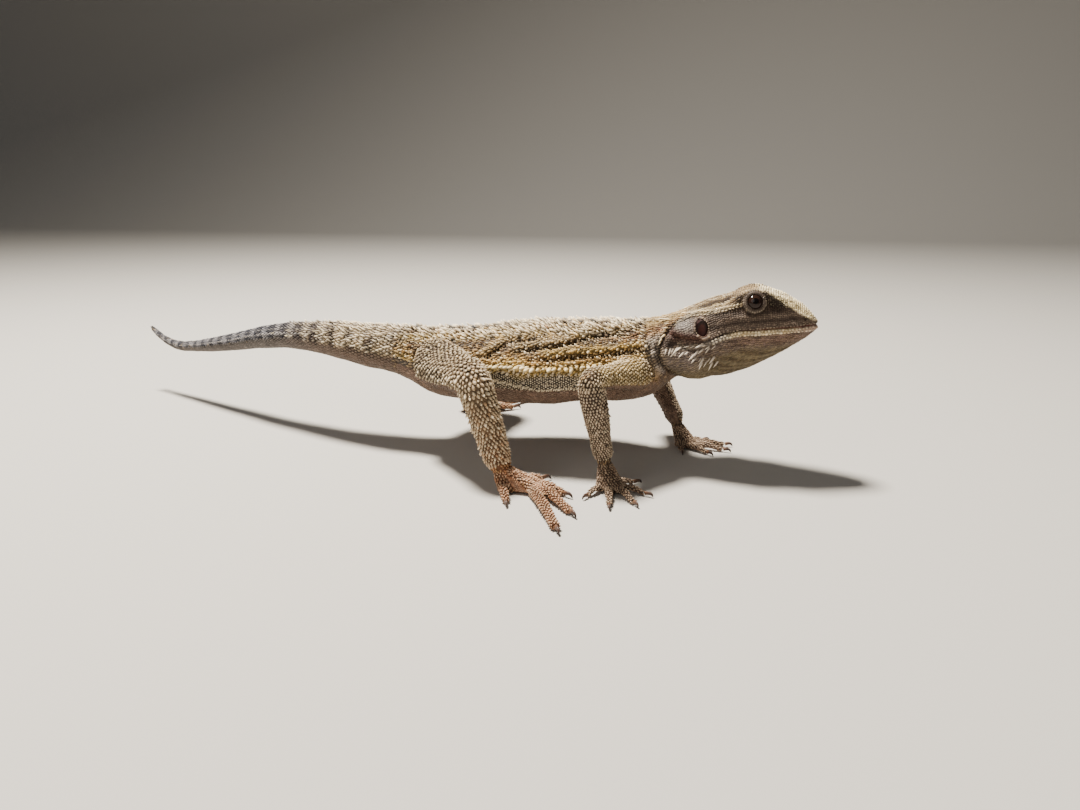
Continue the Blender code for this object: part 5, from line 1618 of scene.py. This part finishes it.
CLAW_SHADES = [(0, (0.16, 0.085, 0.05)), (0.3, (0.075, 0.042, 0.03)), (1, (0.028, 0.018, 0.015))]
claw_points, claw_faces, claw_shade, claw_nodes = [], [], [], []
start = 0
for name in line_names:
    if kind_of(name) != "digit":
        continue
    rings, t = claw_shape(name)
    count, sides = rings.shape[:2]
    k = np.arange(sides)
    rows = (np.arange(count - 1) * sides)[:, None]
    a, b, c, d = rows + k, rows + (k + 1) % sides, rows + sides + (k + 1) % sides, rows + sides + k
    walls = np.stack([a, c, b, a, d, c], axis=2).reshape(-1, 3)
    middle = np.arange(1, sides - 1)
    root_cap = np.stack([0 * middle, middle, middle + 1], axis=1)
    point_cap = np.stack([0 * middle, middle + 1, middle], axis=1) + (count - 1) * sides
    claw_points.append(rings.reshape(-1, 3))
    claw_faces.append(np.vstack([walls, root_cap, point_cap]) + start)
    claw_shade.append(ramp(np.repeat(t[:, 0], sides), CLAW_SHADES))
    start += count * sides
    leg, side, number = name.split("_")
    claw_nodes.append(f"claw_{'finger' if leg == 'front' else 'toe'}_{side}_{number}")
claws = surface("claws", np.vstack(claw_points), np.vstack(claw_faces))
paint(claws, np.vstack(claw_shade))
finish(claws, skin_material("claw_horn", 0.25, 0.25, 0.22, 0.02))
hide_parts(*claw_nodes)
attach(claws, "root")

# ---------------------------------------------------------------- floor, light and camera
# A plain pale floor that turns up behind, a bright lamp high on the left, a broad and weak one in front, and
# the camera.
def curved_floor():
    """A sheet that lies flat under the animal and sweeps up behind it on a quarter circle."""
    bend = np.linspace(0, np.pi / 2, 24)
    depth = np.concatenate([[-2200.0], 1200.0 + 500.0 * np.sin(bend), [1700.0]])
    height = np.concatenate([[0.0], 500.0 * (1 - np.cos(bend)), [2600.0]])
    edge = np.array([-3200.0, 3200.0])
    points = np.stack([np.repeat(edge, len(depth)), np.tile(depth, 2), np.tile(height, 2)], axis=1) - VENT
    k = np.arange(len(depth) - 1)
    return surface("floor", points, np.stack([k, k + len(depth), k + len(depth) + 1, k + 1], axis=1))


floor = curved_floor()
paper = bpy.data.materials.new("pale_floor")
paper.use_nodes = True
paper.node_tree.nodes["Principled BSDF"].inputs["Base Color"].default_value = (0.40, 0.385, 0.36, 1.0)
paper.node_tree.nodes["Principled BSDF"].inputs["Roughness"].default_value = 0.85
finish(floor, paper)


def lamp(name, place, aim, power, size, colour):
    """A round area lamp that faces what it is aimed at."""
    light = bpy.data.lights.new(name, "AREA")
    light.shape, light.size, light.energy, light.color = "DISK", size, power, colour
    made = bpy.data.objects.new(name, light)
    made.location = place
    made.rotation_euler = (Vector(aim) - Vector(place)).to_track_quat("-Z", "Y").to_euler()
    bpy.context.scene.collection.objects.link(made)


lamp("key", (-0.20, 0.10, 0.84), (0.03, 0.0, 0.02), 38.5, 0.16, (1.0, 0.93, 0.82))
lamp("fill", (-0.25, -0.88, 0.58), (0.03, 0.0, 0.02), 3.7, 0.9, (1.0, 0.94, 0.88))
world = bpy.data.worlds.new("soft_room")
world.use_nodes = True
world.node_tree.nodes["Background"].inputs["Color"].default_value = (0.90, 0.88, 0.86, 1.0)
world.node_tree.nodes["Background"].inputs["Strength"].default_value = 0.15
bpy.context.scene.world = world

eye_at = (np.array([112.316, -269.990, 92.145]) + VENT) * MM
yaw, pitch = np.radians([13.31, 15.2])
ahead = Vector((-np.sin(yaw) * np.cos(pitch), np.cos(yaw) * np.cos(pitch), -np.sin(pitch)))
camera = bpy.data.objects.new("camera", bpy.data.cameras.new("camera"))
camera.data.lens, camera.data.sensor_width = 27.2, 36.0
camera.data.clip_start, camera.data.clip_end = 0.01, 20.0
camera.location = eye_at
camera.rotation_euler = ahead.to_track_quat("-Z", "Y").to_euler()
bpy.context.scene.collection.objects.link(camera)
bpy.context.scene.camera = camera
